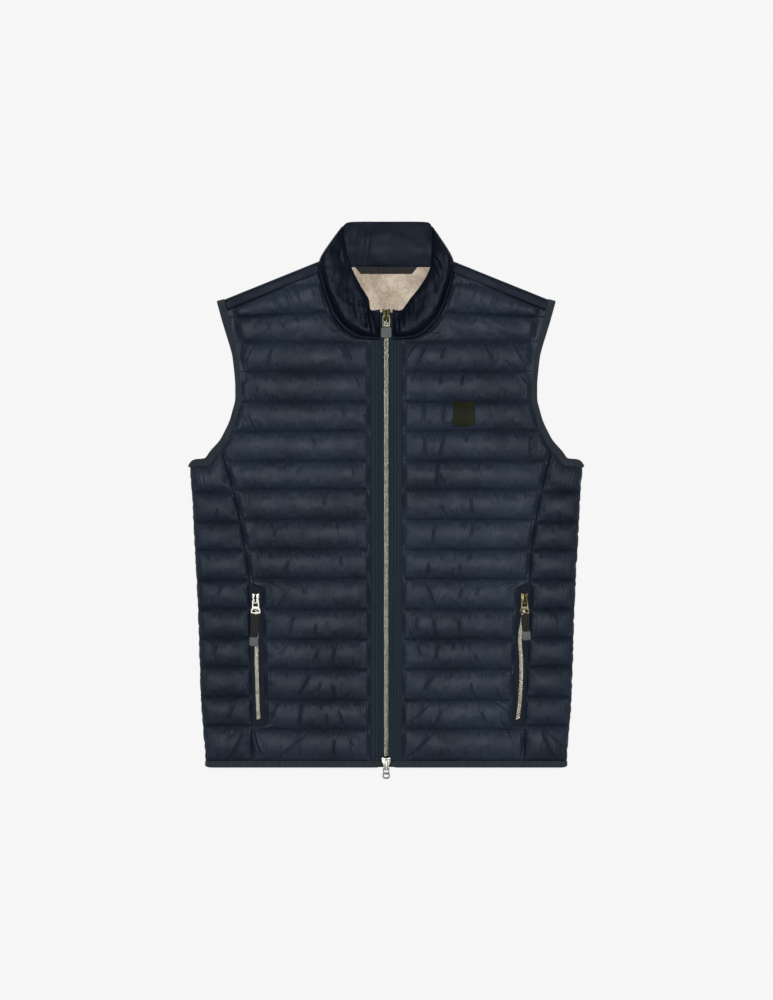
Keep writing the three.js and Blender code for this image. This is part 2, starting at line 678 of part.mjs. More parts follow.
function armholeBinding(sign) {
  const path = armholeInside(0.5, 0);
  const steps = [];
  const direction = (i) => {
    const before = path[Math.max(i - 1, 0)];
    const after = path[Math.min(i + 1, path.length - 1)];
    return new THREE.Vector2(after.x - before.x, after.y - before.y).normalize();
  };
  const put = (i, z, halfWall, ahead) => {
    const along = direction(i);
    const x = path[i].x + along.x * ahead;
    const y = path[i].y + along.y * ahead;
    steps.push({
      point: new THREE.Vector3(sign * x, y, z),
      across: new THREE.Vector3(sign * -along.y, along.x, 0),
      halfWidth: path[i].width / 2,
      halfWall,
    });
  };
  const turn = (i, outward, falling) => {
    const rise = (FRONT_RUN.z - BACK_RUN.z) / 4;
    const middle = (FRONT_RUN.z + BACK_RUN.z) / 2;
    put(i, middle + falling * rise, FRONT_RUN.halfWall, outward * TURN_OUT * TURN_SLANT);
    put(i, middle, FRONT_RUN.halfWall, outward * TURN_OUT);
    put(i, middle - falling * rise, FRONT_RUN.halfWall, outward * TURN_OUT * TURN_SLANT);
  };
  const last = path.length - 1;
  for (let i = 0; i <= last; i++) put(i, FRONT_RUN.z, FRONT_RUN.halfWall, 0);
  turn(last, 1, 1);
  for (let i = last; i >= 0; i--) put(i, BACK_RUN.z, BACK_RUN.halfWall, 0);
  turn(0, -1, -1);
  return strip(steps, true);
}

function hemBinding() {
  const fold = OUTLINE[0].x - FRONT_RUN.halfWall;
  const runEnd = fold - TURN_OUT;
  const middle = (FRONT_RUN.z + BACK_RUN.z) / 2;
  const rise = (FRONT_RUN.z - BACK_RUN.z) / 4;
  const half = [
    { x: HEM_END, ...FRONT_RUN },
    { x: runEnd, ...FRONT_RUN },
    { x: fold - TURN_OUT * (1 - TURN_SLANT), z: middle + rise, halfWall: FRONT_RUN.halfWall },
    { x: fold, z: middle, halfWall: FRONT_RUN.halfWall },
    { x: fold - TURN_OUT * (1 - TURN_SLANT), z: middle - rise, halfWall: FRONT_RUN.halfWall },
    { x: runEnd, ...BACK_RUN },
  ];
  const whole = [...half, ...half.map((row) => ({ ...row, x: -row.x })).reverse()];
  const steps = whole.map((row) => ({
    point: new THREE.Vector3(row.x, HEM_BINDING / 2, row.z),
    across: new THREE.Vector3(0, 1, 0),
    halfWidth: HEM_BINDING / 2,
    halfWall: row.halfWall,
  }));
  return strip(steps, false);
}

// A flat sheet whose half width follows a table
function sheet(table, bottom, thickness) {
  const columns = [-1, 0, 1];
  const at = (z) => table.map((row) => columns.map((c) => new THREE.Vector3(c * row.x, row.y, z)));
  return wall(at(bottom + thickness), at(bottom));
}

// The patch lies on the channel that carries it, moved out from the channel's own heights
function chestPatch() {
  const lower = FRONT_LINES[PATCH.line].inner;
  const upper = FRONT_LINES[PATCH.line + 1].inner;
  const profile = [...CHANNEL, { at: 1, loft: 0 }];
  const edges = [PATCH.y - PATCH.height / 2, PATCH.y + PATCH.height / 2];
  const inside = CHANNEL.map(({ at }) => lerp(lower, upper, at)).filter((y) => y > edges[0] && y < edges[1]);
  const heights = [edges[0], ...inside, edges[1]];
  const surface = (y) => {
    const loft = lookUp(profile, 'at', 'loft', inverseLerp(lower, upper, y));
    return FRONT_INSIDE + STITCHED_WALL + LOFT * loft;
  };
  const rows = (lift) => heights.map((y) => [-0.5, 0, 0.5].map(
    (share) => new THREE.Vector3(PATCH.x + share * PATCH.width, y, surface(y) + lift)));
  return wall(rows(SEAM_GAP + PATCH.wall), rows(SEAM_GAP));
}

// The outline's points: half width at each length, mirrored about the middle
function mirroredShape(rows) {
  const rightSide = rows.map(({ x, y }) => new THREE.Vector2(x, y));
  const leftSide = [...rows].reverse().map(({ x, y }) => new THREE.Vector2(-x, y));
  const points = [...rightSide, ...leftSide];
  if (THREE.ShapeUtils.isClockWise(points)) points.reverse();
  return new THREE.Shape(points);
}

function plate(shape, thickness) {
  return new THREE.ExtrudeGeometry(shape, { depth: thickness, bevelEnabled: false, curveSegments: 8 });
}

// The bridge over a slider: an arch along the zip with a window for the pull's bar.
// Its window starts at y = 0, and it reaches to the given length.
function bridge(length) {
  const total = WINDOW_HEIGHT + BRIDGE_BAR;
  const sink = 1;
  const outline = new THREE.Shape([
    new THREE.Vector2(-BRIDGE_BAR, -sink),
    new THREE.Vector2(length, -sink),
    new THREE.Vector2(length, total * 0.45),
    new THREE.Vector2(length - 2, total),
    new THREE.Vector2(-BRIDGE_BAR * 0.4, total),
    new THREE.Vector2(-BRIDGE_BAR, total * 0.7),
  ]);
  const slot = [[0, 0], [WINDOW_LENGTH, 0], [WINDOW_LENGTH, WINDOW_HEIGHT], [0, WINDOW_HEIGHT]];
  outline.holes.push(new THREE.Path(slot.map(([y, z]) => new THREE.Vector2(y, z))));
  const arch = plate(outline, BRIDGE_WIDTH);
  const axes = new THREE.Matrix4().makeBasis(
    new THREE.Vector3(0, 1, 0), new THREE.Vector3(0, 0, 1), new THREE.Vector3(1, 0, 0));
  arch.applyMatrix4(axes);
  arch.translate(-BRIDGE_WIDTH / 2, 0, 0);
  return arch;
}

// A slider with its body from z = 0 up. The pull's bar is at y = 0, half way up the window.
function slider({ nose, shoulder, front, back }) {
  const body = plate(mirroredShape([
    { x: nose * 0.8, y: front },
    { x: nose, y: front + 1 },
    { x: nose, y: front + 4 },
    { x: shoulder, y: back - 6 },
    { x: shoulder, y: back - 1.2 },
    { x: shoulder * 0.8, y: back },
    { x: shoulder * 0.25, y: back - 1.6 },
  ]), SLIDER_HEIGHT);
  const arch = bridge(back - 2 + WINDOW_LENGTH / 2);
  arch.translate(0, -WINDOW_LENGTH / 2, SLIDER_HEIGHT);
  return joined(body, arch);
}

// A pull's metal plate hanging from y = 0 towards -y, with the opening that clears the bridge.
// It is centred on the height of its bar.
function pullPlate({ outline, opening, eye }) {
  const shape = mirroredShape(outline);
  const hole = (rows) => {
    const points = mirroredShape(rows).getPoints();
    shape.holes.push(new THREE.Path(points));
  };
  hole(opening);
  if (eye) hole(eye);
  const metal = plate(shape, PULL_THICKNESS);
  metal.translate(0, 0, -PULL_THICKNESS / 2);
  return metal;
}

// A rubber end hanging from the given start towards -y, centred on the height of its bar
function rubberEnd({ half, length, wall: thickness, corner }, start, roundStart) {
  const top = roundStart ? [{ x: half - corner, y: start }, { x: half, y: start - corner }] : [{ x: half, y: start }];
  const shape = mirroredShape([
    ...top,
    { x: half, y: start - length + corner },
    { x: half - corner, y: start - length },
  ]);
  const block = plate(shape, thickness);
  block.translate(0, 0, -thickness / 2);
  return block;
}

const BAR_ABOVE_BODY = WINDOW_HEIGHT / 2;

const TOP_SLIDER = { hinge: 616.6, seat: TAPE_TOP + SLIDER_SEAT };
const BOTTOM_SLIDER = { hinge: -0.6, seat: TAPE_TOP + SLIDER_SEAT };
const POCKET_SEAT = FRONT_INSIDE + SEAM_GAP + POCKET_TAPE_WALL + SLIDER_SEAT;
const POCKET_HINGE = 229.5;
const barHeight = (seat) => seat + SLIDER_HEIGHT + BAR_ABOVE_BODY;

function topZipEnd() {
  add('slider_top', slider(TOP_SLIDER_BODY), 'bronze', [0, TOP_SLIDER.hinge, TOP_SLIDER.seat]);
  const bar = [0, TOP_SLIDER.hinge, barHeight(TOP_SLIDER.seat)];
  add('pull_top', pullPlate(TOP_PULL), 'bronze', bar);
  add('pull_tab_top', rubberEnd(TOP_TAB, TOP_PULL.end - SEAM_GAP, true), 'rubber', bar);
}

function bottomZipEnd() {
  add('slider_bottom', slider(BOTTOM_SLIDER_BODY), 'nickel', [0, BOTTOM_SLIDER.hinge, BOTTOM_SLIDER.seat]);
  const bar = [0, BOTTOM_SLIDER.hinge, barHeight(BOTTOM_SLIDER.seat)];
  add('pull_bottom', pullPlate(BOTTOM_PULL), 'nickel', bar, [BOTTOM_PULL_TILT, 0, 0]);
}

function pocket(hand, sign, metal, strapLength) {
  const lineX = (y) => lookUp(POCKET_LINE, 'y', hand, y);
  const slant = (low, high, half, bottom, thickness) => {
    const corners = (z) => [low, high].map((y) => [-half, half].map(
      (dx) => new THREE.Vector3(sign * (lineX(y) + dx), y, z)));
    return wall(corners(bottom + thickness), corners(bottom));
  };
  const tapeZ = FRONT_INSIDE + SEAM_GAP;
  add(`pocket_tape_${hand}`, slant(
    POCKET_BOTTOM + SEAM_GAP, POCKET_TOP - SEAM_GAP, POCKET_TAPE / 2, tapeZ, POCKET_TAPE_WALL), 'tape');
  const chainZ = tapeZ + POCKET_TAPE_WALL + SEAM_GAP;
  add(`pocket_chain_${hand}`, slant(
    POCKET_CHAIN_LOW, POCKET_CHAIN_HIGH, POCKET_CHAIN_WIDTH / 2, chainZ, POCKET_CHAIN_WALL), 'teeth');
  const x = sign * lineX(POCKET_HINGE);
  add(`pocket_slider_${hand}`, slider(POCKET_SLIDER_BODY), metal, [x, POCKET_HINGE, POCKET_SEAT]);
  const z = barHeight(POCKET_SEAT);
  add(`pocket_pull_${hand}`, pullPlate(POCKET_PULL), metal, [x, POCKET_HINGE, z]);
  const yaw = [0, 0, sign * STRAP_YAW];
  const strapEnd = [x, POCKET_HINGE + STRAP.start, z];
  const strap = box(STRAP.width, strapLength, STRAP.wall);
  strap.translate(0, -strapLength / 2, 0);
  add(`pocket_strap_${hand}`, strap, 'strap', strapEnd, yaw);
  add(`pocket_tip_${hand}`, rubberEnd(POCKET_TIP, -strapLength - SEAM_GAP, false), 'rubber', strapEnd, yaw);
}

for (const [hand, sign] of [['right', -1], ['left', 1]]) {
  add(`front_${hand}`, frontPanel(hand, sign), 'shell');
  add(`side_${hand}`, sidePanel(hand, sign), 'side');
  add(`shoulder_${hand}`, shoulderStrip(sign), 'shell');
  add(`armhole_binding_${hand}`, armholeBinding(sign), 'binding');
  const tapeWidth = TAPE_OUTER - TAPE_INNER;
  const tape = box(tapeWidth, TAPE_END - PANEL_BOTTOM, TAPE_TOP - TAPE_BOTTOM);
  const tapeX = sign * (TAPE_INNER + tapeWidth / 2);
  const tapeMiddle = [tapeX, (PANEL_BOTTOM + TAPE_END) / 2, (TAPE_TOP + TAPE_BOTTOM) / 2];
  add(`zip_tape_${hand}`, tape, 'tape', tapeMiddle);
}
add('back', backPanel(), 'shell');
add('collar', collar(), 'shell');
add('neck_lining', sheet(LINING, LINING_BOTTOM, LINING_WALL), 'lining');
const loopTable = [{ y: LOOP.low, x: LOOP.lowHalf }, { y: LOOP.high, x: LOOP.highHalf }];
add('hanger_loop', sheet(loopTable, LINING_BOTTOM + LINING_WALL + SEAM_GAP, LOOP.wall), 'loop');
add('hem_binding', hemBinding(), 'binding');
const chain = box(CHAIN_WIDTH, CHAIN_END - CHAIN_START, CHAIN_TOP - TAPE_BOTTOM);
add('zip_chain', chain, 'teeth', [0, (CHAIN_START + CHAIN_END) / 2, (CHAIN_TOP + TAPE_BOTTOM) / 2]);
add('chest_patch', chestPatch(), 'patch');
topZipEnd();
bottomZipEnd();
pocket('right', -1, 'nickel', 31);
pocket('left', 1, 'bronze', 23);

export default garment;
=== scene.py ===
"""A quilted gilet with its zip closed, lying flat on its back.

Tables are in millimetres. X is the distance from the front zip and Y the height above the hem's edge.
Right and left are the wearer's, so the right front lies on the viewer's left.
"""
import math

import bpy
import numpy as np
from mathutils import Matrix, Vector, noise


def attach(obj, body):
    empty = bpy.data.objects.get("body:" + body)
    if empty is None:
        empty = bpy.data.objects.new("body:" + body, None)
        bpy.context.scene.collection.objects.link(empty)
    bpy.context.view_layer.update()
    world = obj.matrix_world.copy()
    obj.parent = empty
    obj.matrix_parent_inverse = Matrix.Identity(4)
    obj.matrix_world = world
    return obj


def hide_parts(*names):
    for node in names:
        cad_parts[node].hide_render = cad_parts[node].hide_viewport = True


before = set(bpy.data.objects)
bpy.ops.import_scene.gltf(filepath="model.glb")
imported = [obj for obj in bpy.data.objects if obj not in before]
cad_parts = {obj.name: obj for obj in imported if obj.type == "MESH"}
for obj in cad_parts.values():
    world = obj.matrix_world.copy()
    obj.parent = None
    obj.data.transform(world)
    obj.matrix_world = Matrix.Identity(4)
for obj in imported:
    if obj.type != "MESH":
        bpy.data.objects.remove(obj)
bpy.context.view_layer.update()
bpy.ops.object.select_all(action="DESELECT")

# Sizes

MM = 0.001
HEM_TO_MIDDLE = 365.17
HEM_END = 8.6
SEAM_GAP = 0.3
# Heights of the layers over the floor
BACK_TOP = 8.0
FRONT_INSIDE = 8.4
STITCH_LEVEL = 11.0
LOFT = 10.5
LAYER_MIDDLE = 8.2
PANEL_BOTTOM = 9.3
SIDE_WRAP = 28
FOLD_RISE = 1.4
# Share of the loft between two stitched rows: how square the swelling is
SWELL_POWER = 0.52
ZIP_TAPE_PLAN = {"inner": 0.5, "outer": 21.3, "low": 9.0, "high": 621.8, "top": 10.9, "wall": 0.8}
# Beside the front teeth the tapes sink: how deep, out to where, and over what distance
TAPE_SINK = {"depth": 0.9, "out_to": 3.9, "over": 1.2}
TAPE_RIPPLE = {"size": 18, "height": 0.22}
POCKET_TAPE_PLAN = {"half": 11.5, "low": 53, "high": 252, "top": 10.2, "wall": 1.2, "taper": 7.5}
PANEL_EDGE = ZIP_TAPE_PLAN["outer"] + SEAM_GAP
NECK_FROM = 582
POCKET_LOW, POCKET_HIGH = 60, 245
POCKET_EDGE = 8.8
POCKET_EASE = 7
BACK_EDGE = 684
BACK_LAST_LINE = 650
BACK_GROOVE = {"half": 2.2, "depth": 1.1}
BACK_SIDE_LEVEL = 5
# The bindings: heights of the upper and the lower run, half their thickness, and how far they turn past an edge
BAND = {"upper": 10.65, "lower": 2.5, "upper_wall": 1.95, "lower_wall": 2.5, "thickening": 0.3, "turn": 3.2,
        "underarm_turn": 2.3}
BAND_TURN_STEPS = np.linspace(0, 1, 9)[1:-1]
HEM_HALF = 4.5
# On a padded piece's inner face the map stays this far from any stitching, in metres
OFF_STITCHES = 0.02

# Height, and distance from the zip to the side fold
OUTLINE = [(0, 247.5), (24, 249), (92, 254.4), (160, 256.5), (228.5, 258.5), (297, 262.6), (365, 266),
           (406, 269.4), (416, 270)]
# Height, distance from the zip, and how wide the binding is
ARMHOLE = [(416.8, 267.5, 12), (421, 262, 12), (423, 247.5, 12), (433, 240, 11.5), (446.7, 227.8, 10),
           (460.3, 220.3, 9), (474, 214, 8.5), (487.6, 210, 8.5), (501.3, 206.6, 8.5), (515, 206.3, 8.5),
           (528.6, 206.6, 8.5), (555.9, 209.4, 8.5), (569.5, 212, 8.5), (596.8, 220.3, 9.5),
           (610.4, 224.4, 10.5), (632.5, 230.5, 11)]
SEAM_TOP = (433.36, 225.5)
SIDE_SEAM = {
    "right": [(9, 182.4), (245.6, 185), (294, 191.2), (350, 201.5), (390, 211.3), SEAM_TOP],
    "left": [(9, 188), (245.6, 195.2), (294, 197.5), (350, 206), (390, 214.6), SEAM_TOP],
}
# Height, and distance from the zip to the pocket's middle
POCKET_LINE = {"right": [(60, 173.5), (245, 178.6)], "left": [(60, 180), (245, 189.8)]}
# Heights of the stitched rows: at the zip and at the armhole, then on the sides
FRONT_LINES = [(PANEL_BOTTOM,) * 2, (52, 52), (92, 92), (134, 134), (175, 175), (216, 216), (258, 258),
               (298, 298), (339, 339), (380, 380), (419, 419), (460, 460), (500, 500), (541, 541), (582, 582),
               (623, 615), (675.4, 624)]
SIDE_LINES = [PANEL_BOTTOM, 56.6, 96.1, 137.1, 176.6, 216.2, 255.8, 296.7, 334.9, 375.8]
SIDE_TOP_OUTER = 403.5
SHOULDER_NECK = np.array([95, 690.5])
SHOULDER_ALONG = np.array([135, -54.5]) / math.hypot(135, 54.5)
SHOULDER_DOWN = np.array([SHOULDER_ALONG[1], -SHOULDER_ALONG[0]])
SHOULDER_START = {"fold": -7, "front": 1.5}
SHOULDER_FRONT = 14
SHOULDER_BACK = 20
# Across the shoulder: outer face down and up, inner face down and up
SHOULDER_SECTION = [(14.9, 10.9, 14, 8.6), (11.5, 12.1, 9, 8.6), (3, 11.4, 6, 8.6), (0, 6.4, 4.5, 8.3),
                    (3.5, 0.6, 6, 8), (7, 0, 8, 8), (20, 0, 20, 8)]
# Neck seam x and y, top edge x on the right and on the left and y, how full, underside
COLLAR_FRONT = [(8.6, 584.6, 8.6, 8.6, 626, 0.35, 11.8), (22, 584.4, 21, 21, 625, 0.9, 11.8),
                (42, 587, 24, 32.5, 640, 1, 10.4), (62.5, 602, 34.4, 46, 657, 1, 10.4),
                (76, 622.5, 46, 59, 680, 1, 10.4), (87, 652.7, 52.4, 61.5, 699.7, 1, 10.4),
                (92, 672, 56, 62, 718, 1, 10.4), (93.2, 684, 59.5, 62.3, 738, 1, 10.4)]
# Neck seam x and y, top edge x on the right and on the left and y
COLLAR_BACK = [(93.2, 684.4, 59.5, 62.3, 740), (74, 684.4, 52, 57, 745.5), (45, 684.3, 33, 36, 746.5),
               (22, 684.3, 16, 17, 746.5), (0, 684.3, 0, 0, 746.5)]
# Share of the collar's height, and how thick it is there
COLLAR_BACK_THICK = [(0, 3), (0.04, 4.4), (0.085, 5.6), (0.16, 7.4), (0.27, 9), (0.42, 9.4), (0.6, 8), (0.8, 5.2),
                     (0.93, 3), (1, 1.4)]
# Creases pressed in at the collar's lower inner corners: from x, y to x, y, and how deep
COLLAR_CREASES = [(-44, 634, -38, 612, 1.2), (-37, 628, -32, 606, 1.5), (-30, 624, -27, 602, 1.6),
                  (-23, 618, -19, 598, 1.2), (-52, 646, -47, 630, 0.8), (-60, 632, -52, 616, 0.7),
                  (28, 640, 32, 620, 1.5), (35, 644, 36, 624, 1.2), (22, 626, 24, 606, 1.2), (15, 616, 17, 598, 0.9),
                  (62, 700, 74, 684, 0.9), (60, 690, 70, 672, 0.8), (-62, 706, -60, 690, 0.9)]
COLLAR_FOLD_OUT = np.array([0.84, 0.54])
COLLAR_FOLD_REACH = {"least": 0.9, "share": 0.35}
COLLAR_MIDDLE = 10.2
# The height over which the collar's cloth faces up, its ripples' sizes, seeds and heights, and where its folds start
COLLAR_UPPER = 11
COLLAR_RIPPLES = [(22, 7, 1.3), (9, 8, 0.6)]
COLLAR_LEAN_FROM = 715
COLLAR_ROWS, COLLAR_COLUMNS = 265, 31
# Seam and creases on the back of the collar: distance from the middle, half width, depth, and how it leans
COLLAR_BACK_CREASES = [(25.5, 1.6, 1.6, 0), (-46, 2.6, 2.6, 0.12), (-40, 1.8, 1.6, 0.12), (-26, 2.2, 2.3, 0.12),
                       (60, 3, 1.8, 0.12)]
COLLAR_THICK = [(0, 2.6), (0.04, 4.6), (0.085, 3.9), (0.16, 7.6), (0.27, 10), (0.42, 9.8), (0.6, 8), (0.8, 5.2),
                (0.93, 3), (1, 1.4)]
# Height, and half the width there
LINING = [(603, 34), (625, 38), (655, 56), (683.6, 68)]
LINING_TOP, LINING_WALL = 9.1, 0.7
LOOP = {"low": 674.2, "high": 683.8, "half_low": 34.8, "half_high": 42.8, "top": 10.9, "wall": 1.1,
        "flat": (85.6, 10.1)}
PATCH = {"x": 106, "y": 482.5, "width": 30, "height": 33, "lift": 1.7, "wall": 1.3}


def look_up(table, value, key=0, column=1):
    rows = sorted((row[key], row[column]) for row in table)
    return np.interp(value, [r[0] for r in rows], [r[1] for r in rows])


def mix(a, b, share):
    return a + (b - a) * share


def bell(x, half):
    return np.exp(-(x / half) ** 2)


def past_ends(rows):
    """The rows with one more at each end, straight on."""
    return np.concatenate([[2 * rows[0] - rows[1]], rows, [2 * rows[-1] - rows[-2]]])


def smooth_step(x):
    x = np.clip(x, 0, 1)
    return x * x * (3 - 2 * x)


def curve_through(points, shares):
    """Points of a smooth line through the given ones, at shares of its rows."""
    points = np.asarray(points, float)
    spans = len(points) - 1
    place = np.clip(np.asarray(shares, float) * spans, 0, spans - 1e-9)
    i = place.astype(int)
    t = (place - i).reshape((-1,) + (1,) * (points.ndim - 1))
    padded = past_ends(points)
    a, b, c, d = padded[i], padded[i + 1], padded[i + 2], padded[i + 3]
    tangent_b, tangent_c = (c - a) / 2, (d - b) / 2
    return ((2 * t**3 - 3 * t**2 + 1) * b + (t**3 - 2 * t**2 + t) * tangent_b
            + (-2 * t**3 + 3 * t**2) * c + (t**3 - t**2) * tangent_c)


def even_shares(points, count):
    """Shares of rows that give even steps along the line through the points."""
    fine = np.linspace(0, 1, 40 * len(points))
    line = curve_through(points, fine)
    length = np.concatenate([[0], np.cumsum(np.linalg.norm(np.diff(line, axis=0), axis=1))])
    return np.interp(np.linspace(0, length[-1], count), length, fine)


def ripple(points, size, seed, stretch=(1, 1, 1)):
    """Smooth noise from -1 to 1 at points in millimetres, with bumps of about that size."""
    flat = np.asarray(points, float).reshape(-1, 3) / size * np.array(stretch)
    values = [noise.noise(Vector((p[0] + 17.3 * seed, p[1] - 9.1 * seed, p[2] + 4.7 * seed))) for p in flat]
    return np.clip(np.array(values) * 1.6, -1, 1).reshape(np.asarray(points).shape[:-1])


# Finishes

# Stitches and weaves as waves along a metre, times two pi
STITCHES, TAPE_STITCHES, NYLON_WEAVE, SATIN_WEAVE = 2100.0, 2300.0, 5200.0, 6000.0


class Value:
    """A number that changes over a surface, from a node's socket."""

    def __init__(self, finish, socket):
        self.finish, self.socket = finish, socket

    def math(self, operation, *others):
        return self.finish.node("ShaderNodeMath", {"operation": operation}, [self, *others])

    def __add__(self, other): return self.math("ADD", other)
    def __sub__(self, other): return self.math("SUBTRACT", other)
    def __rsub__(self, other): return self.finish.node("ShaderNodeMath", {"operation": "SUBTRACT"}, [other, self])
    def __mul__(self, other): return self.math("MULTIPLY", other)
    def __abs__(self): return self.math("ABSOLUTE")
    def sine(self): return self.math("SINE")

    def between(self, low, high, to_low=0.0, to_high=1.0):
        return self.finish.node("ShaderNodeMapRange", {"interpolation_type": "SMOOTHSTEP"},
                                [self, low, high, to_low, to_high])


class Finish:
    """A material with its nodes."""

    def __init__(self, name, **fixed):
        self.material = bpy.data.materials.new(name)
        self.material.use_nodes = True
        self.tree = self.material.node_tree
        self.tree.nodes.clear()
        self.shader = self.tree.nodes.new("ShaderNodeBsdfPrincipled")
        out = self.tree.nodes.new("ShaderNodeOutputMaterial")
        self.tree.links.new(self.shader.outputs[0], out.inputs[0])
        self.set(**fixed)

    def set(self, **sockets):
        for name, value in sockets.items():
            self._feed(self.shader.inputs[name.replace("_", " ")], value)

    def _feed(self, socket, value):
        if isinstance(value, Value):
            self.tree.links.new(value.socket, socket)
        else:
            socket.default_value = value

    def node(self, kind, settings=None, inputs=(), output=0):
        node = self.tree.nodes.new(kind)
        for name, value in (settings or {}).items():
            setattr(node, name, value)
        for name, value in inputs.items() if isinstance(inputs, dict) else enumerate(inputs):
            self._feed(node.inputs[name], value)
        return Value(self, node.outputs[output])

    def place(self):
        return self.node("ShaderNodeTexCoord", output="Object")

    def cloth_map(self):
        return self.node("ShaderNodeUVMap", {"uv_map": "along"})

    def parts(self, vector):
        node = self.tree.nodes.new("ShaderNodeSeparateXYZ")
        self._feed(node.inputs[0], vector)
        return [Value(self, socket) for socket in node.outputs]

    def noise(self, place, scale, detail=2.0, roughness=0.5, turn=0.0):
        """Noise at one scale, or stretched by three and turned."""
        if isinstance(scale, tuple):
            place = self.node("ShaderNodeMapping", None, {"Vector": place, "Scale": scale, "Rotation": (0, 0, turn)})
            scale = 1.0
        return self.node("ShaderNodeTexNoise", None,
                         {"Vector": place, "Scale": scale, "Detail": detail, "Roughness": roughness}, "Fac")

    def blend(self, share, low, high):
        node = self.tree.nodes.new("ShaderNodeMix")
        node.data_type = "RGBA"
        self._feed(node.inputs["Factor"], share)
        self._feed(node.inputs[6], low)
        self._feed(node.inputs[7], high)
        return Value(self, node.outputs[2])

    def bump(self, height, distance, strength=1.0, under=None):
        inputs = {"Height": height, "Distance": distance, "Strength": strength}
        if under is not None:
            inputs["Normal"] = under
        return self.node("ShaderNodeBump", None, inputs)


def linear(red, green, blue):
    """A colour as the eye names it, from 0 to 255, turned into light."""
    def one(c):
        c /= 255
        return c / 12.92 if c <= 0.04045 else ((c + 0.055) / 1.055) ** 2.4
    return (one(red), one(green), one(blue), 1.0)


def shell_cloth(name, dark, light, shine=0.36, stitched=False, dullness=(0.5, 0.62), tint=linear(228, 235, 246)):
    """Fine nylon, a little uneven in colour, with rows of small stitches where it is quilted."""
    finish = Finish(name, Sheen_Weight=0.1, Sheen_Roughness=0.35, Sheen_Tint=linear(110, 130, 165),
                    Specular_IOR_Level=shine, Specular_Tint=tint)
    place = finish.place()
    tone = (finish.noise(place, 9.0, 3.0) * 0.75 + finish.noise(place, 160.0) * 0.25).between(0.3, 0.7)
    colour = finish.blend(tone, dark, light)
    x, y, _ = finish.parts(place)
    weave = (x * NYLON_WEAVE).sine() * (y * NYLON_WEAVE).sine()
    rough = finish.noise(place, 40.0).between(0.3, 0.7, *dullness)
    crumple = finish.noise(place, (60, 38, 50), 3.0)
    drawn = finish.noise(place, (260, 42, 60), 3.0, 0.55, 0.12)
    normal = finish.bump(crumple, 0.001, 0.5)
    normal = finish.bump(drawn, 0.00075, 0.55, normal)
    normal = finish.bump(weave, 0.00012, 0.35, normal)
    if stitched:
        along, away, _ = finish.parts(finish.cloth_map())
        near = 1.0 - away.between(0.0004, 0.0011)
        dash = (along * STITCHES).sine().between(-0.35, 0.15)
        thread = near * dash
        hole = near * (1.0 - dash)
        # The holes between the stitches are painted shade, near black.
        hole_shade_colour, thread_colour = linear(7, 10, 17), linear(18, 25, 37)
        colour = finish.blend(hole * 0.85, colour, hole_shade_colour)
        colour = finish.blend(thread * 0.6, colour, thread_colour)
        normal = finish.bump(thread - hole * 0.6, 0.0005, 0.6, normal)
    finish.set(Base_Color=colour, Roughness=rough, Normal=normal)
    return finish.material


def ribbed_tape(name, dark, light, rib, sheen=0.3, stitched=()):
    """Woven tape with ribs across it, told by its own map, and lines of stitches along it."""
    finish = Finish(name, Sheen_Weight=sheen, Sheen_Roughness=0.5, Specular_IOR_Level=0.3, Roughness=0.85)
    along, across, _ = finish.parts(finish.cloth_map())
    ribs = (along * (2 * math.pi / rib)).sine()
    threads = (across * (2 * math.pi / (rib * 0.8))).sine()
    place = finish.place()
    fuzz = finish.noise(place, 700.0)
    drawn = finish.noise(place, (420, 5, 1))
    tone = (ribs * 0.22 + threads * 0.1 + fuzz * 0.6 + drawn * 0.9 - 0.25).between(0.2, 0.8)
    height = ribs * 0.7 + threads * 0.3 + fuzz * 0.4
    colour = finish.blend(tone, dark, light)
    if stitched:
        x, y, _ = finish.parts(place)
        lighter_tone, hole, thread = linear(40, 58, 68), linear(4, 9, 14), linear(16, 25, 33)
        for line in stitched:
            near = 1.0 - abs(abs(x) - line).between(0.0003, 0.0009)
            beside = 1.0 - abs(abs(x) - line - 0.0012).between(0.0002, 0.0009)
            dash = (y * TAPE_STITCHES).sine().between(-0.3, 0.2)
            # A lighter line beside each stitched line
            colour = finish.blend(beside * 0.6, colour, lighter_tone)
            # The holes between the stitches are painted shade, near black.
            colour = finish.blend(near * 0.9, colour, finish.blend(dash, hole, thread))
            height = height - near * 1.2
    finish.set(Base_Color=colour, Normal=finish.bump(height, 0.00025, 0.7))
    return finish.material


def metal(name, colour, lighter_tone, roughness, shaded_grooves=(), grain=220.0):
    """Cast metal. Each groove is a dark line of painted shade: its middle, half its width, and its two heights above
    the hem.
    """
    finish = Finish(name, Metallic=1.0)
    place = finish.place()
    cloud = finish.noise(place, grain, 3.0).between(0.35, 0.7)
    scratch = finish.noise(place, (300, 2500, 900))
    tone = finish.blend(cloud, colour, lighter_tone)
    x, y, _ = finish.parts(place)
    # The colour of the painted shade in the grooves
    dark = linear(22, 21, 19)
    for middle, half, low, high in shaded_grooves:
        low, high = ((height - HEM_TO_MIDDLE) * MM for height in (low, high))
        inside = 1.0 - abs(x - middle * MM).between(half * MM, (half + 0.3) * MM)
        inside = inside * y.between(low - 0.0003, low) * (1.0 - y.between(high, high + 0.0003))
        tone = finish.blend(inside * 0.92, tone, dark)
    finish.set(Base_Color=tone,
               Roughness=(cloud * 0.12 + scratch * 0.1) + roughness,
               Normal=finish.bump(scratch, 0.00004, 0.5))
    return finish.material


